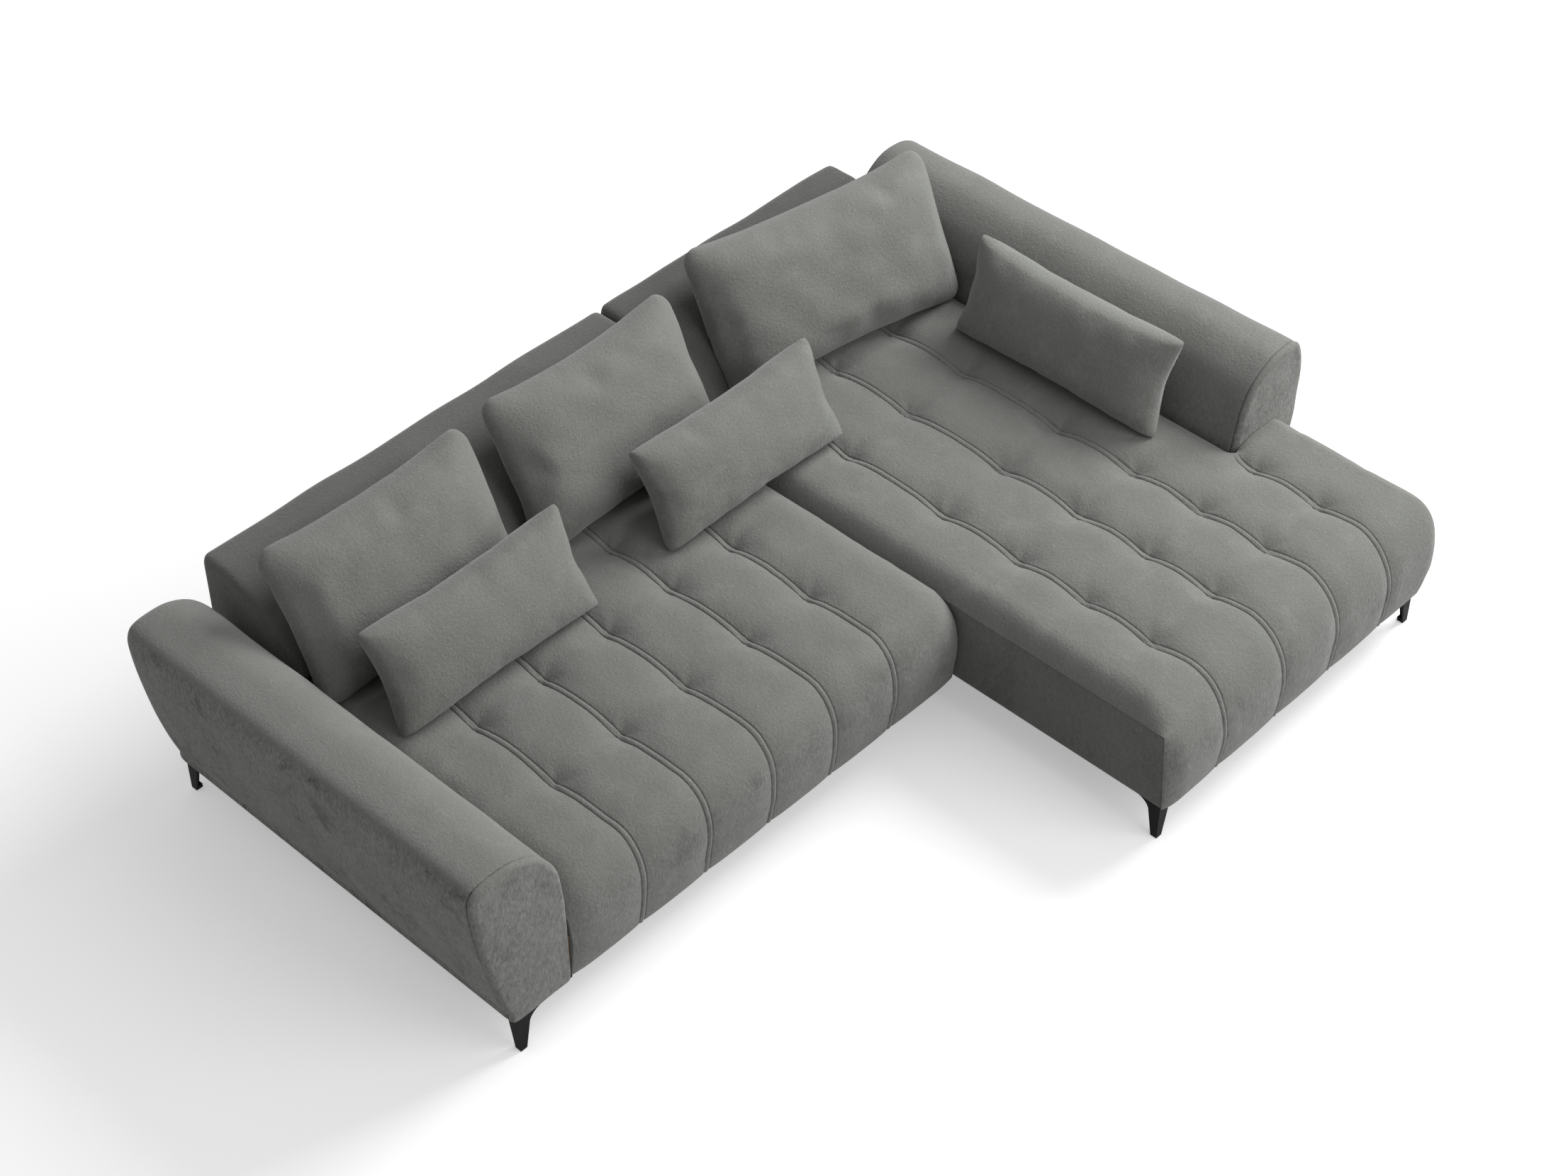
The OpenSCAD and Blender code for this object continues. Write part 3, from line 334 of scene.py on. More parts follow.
# Boxing: height and front end of its seam, how the pad's edge meets it, and its thickness
BOX_TOP = 375.0
BOX_Y = -961.0
BOX_LEAN = 0.065
BOX_ROUND = 62.0
BOX_ROLL = 86.0
BOXING_T = 13.0


def chaise_grid(rows, cols, inset, height, top, x1, yf):
    """Points of the pad from its section rows and its columns, rounded at the free corner."""
    x = np.broadcast_to((cols - inset)[None, :], (len(rows), len(cols))).copy()
    y = np.broadcast_to(rows[:, :1], x.shape).copy()
    z1 = np.broadcast_to(height[None, :], x.shape)
    z2 = np.broadcast_to(rows[:, 1:], x.shape)
    span = top - BASE
    drop = (((top - z1) / span) ** 3 + ((top - z2) / span) ** 3) ** (1 / 3)
    z = top - span * np.minimum(drop, 1)
    dx = np.clip((x - (x1 - CORNER)) / CORNER, 0, 1)
    dy = np.clip((yf + CORNER - y) / CORNER, 0, 1)
    both = (dx > 0) & (dy > 0)
    low = np.clip((CORNER_LOW - z) / (CORNER_LOW - BASE), 0, 1) ** 1.3
    round_in = 1 - 0.43 * low * dx * dy
    nx = dx * np.sqrt(1 - dy ** 2 / 2) * round_in
    ny = dy * np.sqrt(1 - dx ** 2 / 2) * round_in
    x = np.where(both, x1 - CORNER + CORNER * nx, x)
    share = np.clip((y - yf - 160) / 260, 0, 1)
    x = x + WING_FULL * share * share * (3 - 2 * share) * np.clip((x - x1 + 90) / 90, 0, 1)
    y = np.where(both, yf + CORNER - CORNER * ny, y)
    return x, y, z


def chaise_columns():
    """Column places across the chaise's top, one of them on the side of the arm's notch."""
    cols = [NOTCH_X]
    for a, b in zip((CHAISE_X0,) + CHAISE_SEAMS, CHAISE_SEAMS):
        cols += seam_columns(a, b).tolist()
    middle = (LAST_SEAM + CHAISE_X1) / 2
    cols += [c for c in seam_columns(LAST_SEAM, CHAISE_X1) if c < middle - 1]
    cols = np.unique(np.array(cols).round(3))
    return cols[(cols == NOTCH_X) | (np.abs(cols - NOTCH_X) >= 0.9)]


def beside_arm(x, s):
    """Depth of the pad's roll down to the arm's inner face, behind the arm's front."""
    share = np.clip((s - (NOTCH_Y - Y_FRONT) + 40) / 70, 0, 1)
    share = share * share * (3 - 2 * share)
    return END_ROLL * np.clip(1 - np.abs(NOTCH_X - x) / (CHAISE_CHANNEL / 2), 0, 1) ** 3 * share


def meet_boxing(rows, x, y, z):
    """Draws the pad's left edge to the boxing's seam, straight along the side, down in front."""
    edge_y = np.maximum(rows[:, 0], BOX_Y - BOX_LEAN * np.maximum(BOX_TOP - rows[:, 1], 0))
    edge_z = np.minimum(rows[:, 1], BOX_TOP)
    t = np.clip(1 - (x - CHAISE_X0) / BOX_ROUND, 0, 1)
    turn = 0.5 * t ** 2 + 0.5 * (1 - np.sqrt(1 - t ** 2))
    drop = np.clip(1 - (x - CHAISE_X0) / BOX_ROLL, 0, 1) ** 3
    y = y + (edge_y - rows[:, 0])[:, None] * turn[None, :]
    z = z + (edge_z - rows[:, 1])[:, None] * drop[None, :]
    return y, z


def chaise_inner(stops, base_x, side, plain):
    """Inner side of the chaise's skin, for the same rows and columns as the outer one."""
    top = SEAT - PAD_TOP_T
    rows = section_rows(Y_FRONT + PAD_SIDE_T, CHAISE_ROLL - PAD_SIDE_T, CHAISE_ROLL_Z - 25,
                        CHAISE_POWER, top, INNER_HEM, stops)
    k = (SIDE[0][0] - PAD_SIDE_T) / SIDE[0][0]
    inset = np.concatenate([np.zeros(plain), PAD_SIDE_T + side[:, 0] * k])
    fall = BASE + (np.clip(side[:, 1], BASE, SEAT) - BASE) * (top - BASE) / (SEAT - BASE)
    height = np.concatenate([np.full(plain, top), fall])
    x, y, z = chaise_grid(rows, base_x, inset, height, top, CHAISE_X1 - PAD_SIDE_T,
                          Y_FRONT + PAD_SIDE_T)
    wall = CHAISE_X0 + BOXING_T + 1
    x = np.where(base_x[None, :] < wall, wall + (base_x - CHAISE_X0)[None, :] * 0.05, x)
    return np.stack([x, y, z], -1)


def chaise_pad():
    """Chaise pad and the points of its left edge."""
    stops = np.append(np.arange(Y_FRONT + CHAISE_ROLL + 9, PAD_REAR - 4, ROW_STEP), PAD_REAR)
    stops = np.unique(np.append(stops, NOTCH_Y))
    rows = section_rows(Y_FRONT, CHAISE_ROLL, CHAISE_ROLL_Z, CHAISE_POWER, SEAT, CHAISE_HEM, stops)
    cols = chaise_columns()
    plain = len(cols)
    side = resample(spline(SIDE, 8), 8.0)
    base_x = np.concatenate([cols, np.full(len(side), CHAISE_X1)])
    inset = np.concatenate([np.zeros(plain), side[:, 0]])
    height = np.concatenate([np.full(plain, SEAT), np.clip(side[:, 1], BASE, SEAT)])
    n2 = normals_2d(rows)
    px = np.broadcast_to((base_x - inset)[None, :], (len(rows), len(base_x)))
    s = np.broadcast_to(rows[:, :1] - Y_FRONT, px.shape)
    z2 = np.broadcast_to(rows[:, 1:], px.shape)
    d = pad_depth(px, s, z2, CHAISE_SEAMS, CHAISE_ROWS, CHAISE_CHANNEL, [(CHAISE_X0, 1, 0, 0)],
                  11, NOTCH_Y - Y_FRONT)
    d = np.maximum(d, beside_arm(px, s))
    d = d * np.clip((height - BASE) / (SEAT - BASE), 0, 1)[None, :] ** 2
    x, y, z = chaise_grid(rows, base_x, inset, height, SEAT, CHAISE_X1, Y_FRONT)
    y, z = meet_boxing(rows, base_x, y - n2[:, :1] * d, z - n2[:, 1:] * d)
    outer = np.stack([x, y, np.clip(z, BASE, SEAT - 0.5)], -1)
    beyond = np.arange(len(base_x) - 1) >= int(np.argmin(np.abs(base_x - inset - NOTCH_X)))
    cy = 0.5 * (rows[:-1, 0] + rows[1:, 0])
    on_top = np.arange(len(rows) - 1) >= FRONT_ROWS
    keep = ~((cy > NOTCH_Y) & on_top)[:, None] | ~beyond[None, :]
    obj = shell("seat_pad_chaise", outer, chaise_inner(stops, base_x, side, plain), keep)
    return obj, outer[:, 0, :]


def boxing(edge):
    """Side panel of the chaise, bounded by the pad's left edge and drawn in at its seams."""
    zs = np.concatenate([[BASE, BASE + 1.5, BASE + 4, BASE + 9],
                         np.linspace(BASE + 18, BOX_TOP - 12, 24),
                         [BOX_TOP - 7, BOX_TOP - 4, BOX_TOP - 2, BOX_TOP - 0.8, BOX_TOP]])
    front = edge[(edge[:, 2] < BOX_TOP - 0.1) & (edge[:, 1] < 0)]
    yf = np.interp(zs, np.append(front[:, 2], BOX_TOP), np.append(front[:, 1], BOX_Y))
    f = np.concatenate([[0, 0.0006, 0.0015, 0.003, 0.005, 0.009], np.linspace(0.016, 1, 120)])
    y = yf[:, None] + f[None, :] * (PAD_REAR - yf[:, None])
    z = np.broadcast_to(zs[:, None], y.shape)
    near = np.minimum(y - yf[:, None], BOX_TOP - z)
    near = np.minimum(near, (z - BASE) * 1.5)
    edge_in = 3.6 * np.exp(-near / 2.6)
    up = np.clip((z - BASE) / (BOX_TOP - BASE), 0, 1)
    crown = 2.2 * np.sin(np.pi * up) * np.clip(near / 60, 0, 1)
    p = np.stack([np.zeros_like(y), y, z], -1)
    wave = 0.7 * field(p, 190, 21) * np.clip(near / 40, 0, 1)
    x = CHAISE_X0 + 0.6 + edge_in - crown + wave
    outer = np.stack([x, y, z], -1)
    inner = np.stack([np.full_like(y, CHAISE_X0 + BOXING_T), y, z], -1)
    return shell("chaise_boxing", outer[:, ::-1], inner[:, ::-1])


# Arms
LEFT_ARM = [(12, BASE), (0, BASE + 24), (0, BASE + 130), (2, ARM_H - 265), (5, ARM_H - 214),
            (17, ARM_H - 129), (51, ARM_H - 65), (90, ARM_H - 28), (148, ARM_H - 4), (205, ARM_H),
            (250, ARM_H - 5), (ARM_W - 6, ARM_H - 22), (ARM_W, ARM_H - 60),
            (ARM_W - 9, ARM_H - 160), (ARM_W - 27, ARM_H - 269), (ARM_W - 56, BASE + 118),
            (ARM_W - 86, BASE + 24), (ARM_W - 100, BASE)]
RIGHT_ARM = [(12, BASE), (0, BASE + 24), (0, BASE + 130), (3, ARM_H - 265), (9, ARM_H - 214),
             (23, ARM_H - 144), (51, ARM_H - 77), (90, ARM_H - 40), (144, ARM_H - 13),
             (200, ARM_H - 9), (240, ARM_H - 19), (ARM_W - 14, ARM_H - 47), (ARM_W - 3, ARM_H - 90),
             (ARM_W, ARM_H - 165), (ARM_W - 2, ARM_H - 269), (ARM_W - 30, BASE + 118),
             (ARM_W - 66, BASE + 24), (ARM_W - 88, BASE)]
ARM_CORE = (ARM_W - 60) / 2
ARM_MID = BASE + 260
ARM_REAR_R = 42.0
FACING_R = 15.0
FACING_CROWN = 2.5
# Seam between an arm and its front panel: its place behind the front, and how both turn in
SEAM_BACK = 22.0
ARM_SEAM = 22.4
ARM_EDGE = ((1.2, 2.2), (3, 0.9), (6, 0.2), (12, 0))
FACING_SEAM = 21.6
FACING_EDGE = ((1.2, 2.2), (3, 0.8), (6, 0.1))
SEAM_IN = 4.5


def arm_ring(points):
    """An arm's outline in even steps, kept inside its width and above its base."""
    ring = closed(points, 8)
    ring[:, 0] = np.clip(ring[:, 0], 0, ARM_W)
    ring[:, 1] = np.maximum(ring[:, 1], BASE)
    return even_ring(ring, 9.0)


ARM_RINGS = {-1: arm_ring(LEFT_ARM), 1: arm_ring(RIGHT_ARM)}


def arm_section(side, y, d):
    """An arm's outline at depth y, drawn in by d; the right one swells towards its front."""
    ring = ARM_RINGS[side]
    swell = 1.5 + 4.0 * np.clip((60 - y) / 520, 0, 1) if side > 0 else 0.0
    swell = swell * np.clip((ring[:, 0] - 120) / 110, 0, 1)
    swell = swell * np.clip((ring[:, 1] - BASE) / 200, 0, 1)
    x = ARM_CORE + (ring[:, 0] - ARM_CORE) * (1 - 2 * d / ARM_W) + swell
    z = BASE + (ring[:, 1] - BASE) * (1 - d / (ARM_H - BASE))
    z = z + swell * np.clip((ring[:, 1] - 480) / 120, 0, 1)
    return np.stack([x, np.full(len(x), y), z], 1)


def loft(rings, cap_a, cap_b):
    """Closed skin over rings, each end closed towards its cap point."""
    n = len(rings[0])
    m = len(rings)
    verts = np.concatenate(rings + [np.array([cap_a]), np.array([cap_b])])
    faces = []
    for i in range(m - 1):
        for j in range(n):
            a, b = i * n + j, i * n + (j + 1) % n
            faces.append([a, a + n, b + n, b])
    for j in range(n):
        b = (j + 1) % n
        faces.append([j, b, m * n])
        faces.append([(m - 1) * n + b, (m - 1) * n + j, m * n + 1])
    return verts, faces


def toward(ring, centre, k, axis, place):
    """The ring drawn towards a centre, k of its size, and laid flat at a place on an axis."""
    out = centre + (ring - centre) * k
    out[:, axis] = place
    return out


def outward(p, core, axis):
    """Unit directions to the points from a core line that runs along an axis."""
    out = p - core
    out[:, axis] = 0
    return out / np.maximum(np.linalg.norm(out, axis=1), 1)[:, None]


def rings_of(p, n):
    """Points in a row, parted into rings of n."""
    return [p[k:k + n] for k in range(0, len(p), n)]


def arm_place(name, verts, faces, side):
    """A loft in an arm's own measures, taken to its side of the sofa."""
    verts[:, 2] = np.maximum(verts[:, 2], BASE)
    verts[:, 0] = side * (X_IN + np.maximum(verts[:, 0], 0))
    if side > 0:
        faces = [f[::-1] for f in faces]
    return make(name, verts, faces)


def arm(name, side, y0, y1, seed):
    """Arm pad from the facing's seam to the rounded rear end."""
    rings = [arm_section(side, y0 + ARM_SEAM, SEAM_IN)]
    rings += [arm_section(side, y0 + ARM_SEAM + e, d) for e, d in ARM_EDGE]
    rings += [arm_section(side, y, 0) for y in np.arange(y0 + 46, y1 - 46, 16)]
    for a in np.radians([0, 15, 30, 45, 58, 70, 80, 90]):
        rings.append(arm_section(side, y1 - ARM_REAR_R * (1 - math.sin(a)),
                                 ARM_REAR_R * 0.8 * (1 - math.cos(a))))
    last = rings[-1]
    centre = np.array([ARM_CORE, y1, ARM_MID])
    for k, push in [(0.9, 0.5), (0.75, 1.5), (0.5, 2.5), (0.25, 3)]:
        rings.append(toward(last, centre, k, 1, y1 + push - 1.5))
    p = np.concatenate(rings)
    calm = np.clip((p[:, 2] - BASE) / 40, 0, 1)
    back = np.clip((y1 - p[:, 1]) / 30, 0, 1)
    near = p[:, 1] - y0 - SEAM_BACK
    pucker = 0.5 * np.sin(p[:, 0] * 0.21 + p[:, 2] * 0.19 + seed) * np.exp(-near / 22)
    swell = (1.1 * field(p, 210, seed) - 1.0) * calm * back + pucker * calm
    rings = rings_of(p + outward(p, centre, 1) * swell[:, None], len(last))
    verts, faces = loft(rings, rings[0].mean(0), centre + np.array([0, 1.5, 0]))
    return arm_place(name, verts, faces, side)


def facing(name, side, y0, seed):
    """Crowned front panel of an arm, sewn round its edge."""
    rings = [arm_section(side, y0 + FACING_SEAM, SEAM_IN)]
    rings += [arm_section(side, y0 + FACING_SEAM - e, d) for e, d in FACING_EDGE]
    for a in np.radians([15, 30, 45, 60, 75, 90]):
        rings.append(arm_section(side, y0 + FACING_CROWN + FACING_R * (1 - math.sin(a)),
                                 FACING_R * (1 - math.cos(a))))
    last = rings[-1]
    centre = np.array([ARM_CORE + 8, y0, BASE + 250])
    for k in [0.94, 0.86, 0.76, 0.64, 0.5, 0.36, 0.22, 0.1]:
        crown = y0 + FACING_CROWN - FACING_CROWN * (1 - k) ** 0.8
        rings.append(toward(last, centre, k, 1, crown))
    p = np.concatenate(rings)
    front = np.clip((y0 + 16 - p[:, 1]) / 10, 0, 1)
    p[:, 1] += (0.8 * field(p, 150, seed) + 0.3) * front
    p[:, 1] = np.maximum(p[:, 1], y0 - 1.5)
    rings = rings_of(p, len(last))
    verts, faces = loft(rings, rings[0].mean(0), np.array([centre[0], y0 + 0.1, centre[2]]))
    return arm_place(name, verts, [f[::-1] for f in faces], side)


# Backrests: a flat band on top, a bowed slope in front, and a toe over the seat
TOE_Y = Y_BACK - BACK_T - BACK_TOE
TOE_Z = SEAT + 6
SLOPE_A = np.array([TOE_Y, TOE_Z + 16])
SLOPE_B = np.array([Y_BACK - BACK_BAND, BACK_H])
SLOPE_BOW = 34.0
BACK_R = 24.0
BACK_MID = BASE + 240
BACK_CORE = Y_BACK - BACK_T / 2


def slope_point(t):
    """Point (y, z) of the bowed slope, from its foot at 0 to the top band at 1."""
    d = SLOPE_B - SLOPE_A
    out = np.array([-d[1], d[0]]) / np.linalg.norm(d)
    return SLOPE_A + d * t + out * (SLOPE_BOW * 4 * t * (1 - t))


def chaikin(p, times):
    """Cuts the corners of a closed ring."""
    for _ in range(times):
        q = np.roll(p, -1, axis=0)
        p = np.stack([0.75 * p + 0.25 * q, 0.25 * p + 0.75 * q], 1).reshape(-1, 2)
    return p


def back_ring():
    """Outline of a backrest's section, with its corners rounded."""
    pts = [(Y_BACK, BASE), (Y_BACK, 380), (Y_BACK, BACK_H - 12), (Y_BACK - 3, BACK_H - 3),
           (Y_BACK - 12, BACK_H)]
    pts += [tuple(slope_point(k / 12)) for k in range(12, -1, -1)]
    pts += [(TOE_Y + 8, TOE_Z), (Y_BACK - BACK_T, TOE_Z), (Y_BACK - BACK_T, BASE)]
    ring = even_ring(chaikin(even_ring(np.array(pts, float), 9.0), 2), 8.0)
    ring[:, 1] = np.maximum(ring[:, 1], BASE)
    return ring


BACK_RING = back_ring()


def back_section(x, d):
    """A backrest's outline at x, drawn in by d."""
    y = BACK_CORE + (BACK_RING[:, 0] - BACK_CORE) * (1 - 2 * d / (BACK_T + BACK_TOE))
    z = BASE + (BACK_RING[:, 1] - BASE) * (1 - d / (BACK_H - BASE))
    return np.stack([np.full(len(y), x), y, z], 1)


def back_end(x, way):
    """Rings of a backrest's end at x, from its middle over the rounded edge; way is 1 where
    the pad goes on to the right and -1 where it goes on to the left."""
    edge = back_section(x, BACK_R * 0.8)
    centre = np.array([x, BACK_CORE - 10, BACK_MID])
    rings = [toward(edge, centre, k, 0, x - way * 1.2 * (1 - k)) for k in (0.25, 0.5, 0.75, 0.92)]
    for a in np.radians([0, 18, 36, 54, 72, 90]):
        rings.append(back_section(x + way * BACK_R * (1 - math.cos(a)),
                                  BACK_R * 0.8 * (1 - math.sin(a))))
    return rings


def backrest(name, x0, x1, seed):
    """Backrest pad from x0 to x1."""
    rings = back_end(x0, 1)
    rings += [back_section(x, 0) for x in np.arange(x0 + BACK_R + 14, x1 - BACK_R - 10, 16)]
    rings += back_end(x1, -1)[::-1]
    p = np.concatenate(rings)
    calm = np.clip((p[:, 2] - BASE) / 40, 0, 1)
    swell = (1.2 * field(p, 230, seed) - 1.4) * calm
    p = p + outward(p, np.array([0, BACK_CORE, BACK_MID]), 0) * swell[:, None]
    caps = [np.array([x, BACK_CORE - 10, BACK_MID]) for x in (x0 - 1.0, x1 + 1.0)]
    verts, faces = loft(rings_of(p, len(BACK_RING)), *caps)
    verts[:, 2] = np.maximum(verts[:, 2], BASE)
    return make(name, verts, [f[::-1] for f in faces])


# Loose cushions: two sheets sewn round the edge, puffed up as cloth
CELL = 8.5
SIM_FRAMES = 20
SIM_REACH = 26.0
SMOOTH_TURNS = 16
LEAN = 28.0
SLOPE_GAP = 2.5


def sheet_grid(w, h, corner):
    """Flat grid over a sheet with rounded corners, as x and z."""
    u = np.linspace(-1, 1, int(round(w / CELL)) + 1)
    v = np.linspace(-1, 1, int(round(h / CELL)) + 1)
    u, v = np.meshgrid(u, v, indexing="ij")
    x, z = u * w / 2, v * h / 2
    cx = np.clip((np.abs(x) - w / 2 + corner) / corner, 0, 1)
    cz = np.clip((np.abs(z) - h / 2 + corner) / corner, 0, 1)
    both = (cx > 0) & (cz > 0)
    x = np.where(both, np.sign(x) * (w / 2 - corner + corner * cx * np.sqrt(1 - cz ** 2 / 2)), x)
    z = np.where(both, np.sign(z) * (h / 2 - corner + corner * cz * np.sqrt(1 - cx ** 2 / 2)), z)
    return u, v, x, z


def cushion_mesh(w, h, front, rear, corner, draw, edge, pucker, seed):
    """Points, faces and edge points of a full cushion in its own frame."""
    u, v, x, z = sheet_grid(w, h, corner)
    f = np.clip((1 - np.abs(u) ** 2.6) * (1 - np.abs(v) ** 2.6), 0, None) ** edge
    x = x * (1 - draw * (1 - v * v) * u * u)
    z = z * (1 - draw * (1 - u * u) * v * v)
    rim = np.zeros(u.shape, bool)
    rim[[0, -1]] = True
    rim[:, [0, -1]] = True
    p = np.stack([x, np.zeros_like(x), z], -1)
    ripple = 1.5 * field(p, 110, seed) * f
    end = np.exp(-(1 - np.abs(u)) * w / 2 / 34) * np.sin(v * 9 + seed) * (1 - v ** 4)
    long = np.exp(-(1 - np.abs(v)) * h / 2 / 30) * field(p, 60, seed + 2)
    ripple = ripple + pucker * (1.6 * end + 0.7 * long) * np.clip(f * 1.6, 0, 1)
    a = np.stack([x, -(front * f + ripple), z], -1)
    b = np.stack([x, rear * f + 1.2 * field(p, 130, seed + 1) * f, z], -1)
    m, n = u.shape
    idx = np.arange(m * n).reshape(m, n)
    back = np.where(rim, idx, idx + m * n)
    faces = []
    for i in range(m - 1):
        for j in range(n - 1):
            faces.append([idx[i, j], idx[i + 1, j], idx[i + 1, j + 1], idx[i, j + 1]])
            faces.append([back[i, j], back[i, j + 1], back[i + 1, j + 1], back[i + 1, j]])
    verts = np.concatenate([a.reshape(-1, 3), b.reshape(-1, 3)])
    faces = np.array(faces)
    used = np.unique(faces)
    remap = np.full(len(verts), -1)
    remap[used] = np.arange(len(used))
    return verts[used], remap[faces], remap[idx[rim]]


def split_corners(faces, rim):
    """The faces, with each corner cell cut through its corner, so that front and rear
    share no other edge."""
    seam = set(rim.tolist())
    out = []
    for quad in faces.tolist():
        inner = [k for k in range(4) if quad[k] not in seam]
        if len(inner) == 1:
            a, b, c, d = quad[inner[0]:] + quad[:inner[0]]
            out += [[a, b, c], [a, c, d]]
        else:
            out.append(quad)
    return out


def smoothed(values, faces, turns):
    """The same values per point, each evened out with its neighbours a few times."""
    a = np.concatenate([faces[:, k] for k in range(4)])
    b = np.concatenate([faces[:, (k + 1) % 4] for k in range(4)])
    share = np.zeros(len(values))
    np.add.at(share, a, 1)
    np.add.at(share, b, 1)
    for _ in range(turns):
        total = np.zeros_like(values)
        np.add.at(total, a, values[b])
        np.add.at(total, b, values[a])
        values = 0.5 * values + 0.5 * total / share[:, None]
    return values


def capped(move):
    """The same moves, none longer than SIM_REACH."""
    far = np.linalg.norm(move, axis=1)[:, None]
    return move * np.minimum(1, SIM_REACH / np.maximum(far, 1e-6))


def puffed(verts, faces, rim, pull, press):
    """The cushion as cloth: the seam draws together while the filling presses out."""
    mesh = bpy.data.meshes.new("cloth")
    mesh.from_pydata((verts * MM).tolist(), [], faces.tolist())
    obj = bpy.data.objects.new("cloth", mesh)
    scene.collection.objects.link(obj)
    group = obj.vertex_groups.new(name="seam")
    group.add([int(i) for i in rim], 1.0, "REPLACE")
    mod = obj.modifiers.new("cloth", "CLOTH")
    mod.collision_settings.use_collision = False
    mod.point_cache.frame_start = 1
    mod.point_cache.frame_end = SIM_FRAMES
    cloth = mod.settings
    cloth.quality = 5
    cloth.mass = 0.3
    cloth.tension_stiffness = 35
    cloth.compression_stiffness = 35
    cloth.shear_stiffness = 20
    cloth.bending_stiffness = 4.0
    cloth.tension_damping = 12
    cloth.compression_damping = 12
    cloth.shear_damping = 12
    cloth.bending_damping = 0.5
    cloth.use_pressure = True
    cloth.uniform_pressure_force = press
    cloth.vertex_group_shrink = "seam"
    cloth.shrink_max = pull
    cloth.effector_weights.gravity = 0
    for frame_no in range(1, SIM_FRAMES + 1):
        scene.frame_set(frame_no)
    shape = obj.evaluated_get(bpy.context.evaluated_depsgraph_get()).data
    out = np.empty(len(shape.vertices) * 3)
    shape.vertices.foreach_get("co", out)
    bpy.data.objects.remove(obj)
    bpy.data.meshes.remove(mesh)
    scene.frame_set(1)
    move = capped(out.reshape(-1, 3) / MM - verts)
    return verts + capped(smoothed(move, faces, SMOOTH_TURNS))


def fitted(p, w, h, front, rear):
    """The puffed cushion brought back to its width, height and fullness."""
    for k, size in ((0, w), (2, h)):
        low, high = p[:, k].min(), p[:, k].max()
        p[:, k] = (p[:, k] - (low + high) / 2) * size / (high - low)
    ahead = p[:, 1] < 0
    p[:, 1] *= np.where(ahead, front / -p[:, 1].min(), rear / p[:, 1].max())
    return p


def settle(p, x, y, turn, lean, h, sunk):
    """Takes a cushion's points to its place, leaning back on the seat."""
    p = p.copy()
    p[:, 2] += h / 2 - sunk
    a = math.radians(-lean)
    y1 = p[:, 1] * math.cos(a) - p[:, 2] * math.sin(a)
    z1 = p[:, 1] * math.sin(a) + p[:, 2] * math.cos(a)
    t = math.radians(turn)
    x2 = p[:, 0] * math.cos(t) - y1 * math.sin(t)
    y2 = p[:, 0] * math.sin(t) + y1 * math.cos(t)
    return np.stack([x2 + x, y2 + y, z1 + SEAT], 1)


def soft_floor(z, level, soft=6.0):
    """z, kept above level with a soft bend."""
    d = z - level
    return level + np.where(d > soft, d, soft * np.exp(np.minimum(d / soft - 1, 0)))


# The backrests' front as points (y, z), run on down to the seat
SLOPE_FOOT = SLOPE_A - (SLOPE_A[1] - SEAT) * np.array([math.tan(math.radians(LEAN)), 1])
SLOPE = np.array([SLOPE_FOOT] + [slope_point(t) for t in np.linspace(0, 1, 40)])


def cushion(name, size, form, place, seed, against):
    """A cushion of (w, h, front, rear) and (corner, draw, edge, pull, press, pucker), set
    at its place (x, y, turn, lean, sunk), and kept off the backrests if it leans on them."""
    w, h, front, rear = size
    corner, draw, edge, pull, press, pucker = form
    x, y, turn, lean, sunk = place
    verts, faces, rim = cushion_mesh(w, h, front, rear, corner, draw, edge, pucker, seed)
    p = fitted(puffed(verts, faces, rim, pull, press), w, h, front, rear)
    p = settle(p, x, y, turn, lean, h, sunk)
    p[:, 2] = soft_floor(p[:, 2], SEAT + 0.5)
    if against:
        limit = np.interp(p[:, 2], SLOPE[:, 1], SLOPE[:, 0]) - SLOPE_GAP
        over = p[:, 1] - limit
        p[:, 1] = np.where((p[:, 2] < BACK_H) & (over > 0), limit, p[:, 1])
    return make(name, p, split_corners(faces, rim), 70)


# Fixed pieces, by their node in the CAD
pieces = {"left_seat_pad": main_pad()}
pieces["chaise_seat_pad"], edge_line = chaise_pad()
pieces["chaise_side_boxing"] = boxing(edge_line)
pieces["left_arm_pad"] = arm("arm_left", -1, Y_LEFT_ARM, Y_ARM_REAR, 31)
pieces["right_arm_pad"] = arm("arm_right", 1, Y_RIGHT_ARM, Y_ARM_REAR, 33)
pieces["left_arm_facing"] = facing("arm_left_front_panel", -1, Y_LEFT_ARM, 35)
pieces["right_arm_facing"] = facing("arm_right_front_panel", 1, Y_RIGHT_ARM, 37)
pieces["left_backrest_pad"] = backrest("backrest_left", -X_IN + 14, 212.5, 41)
pieces["right_backrest_pad"] = backrest("backrest_right", 216.5, X_IN - 14, 43)

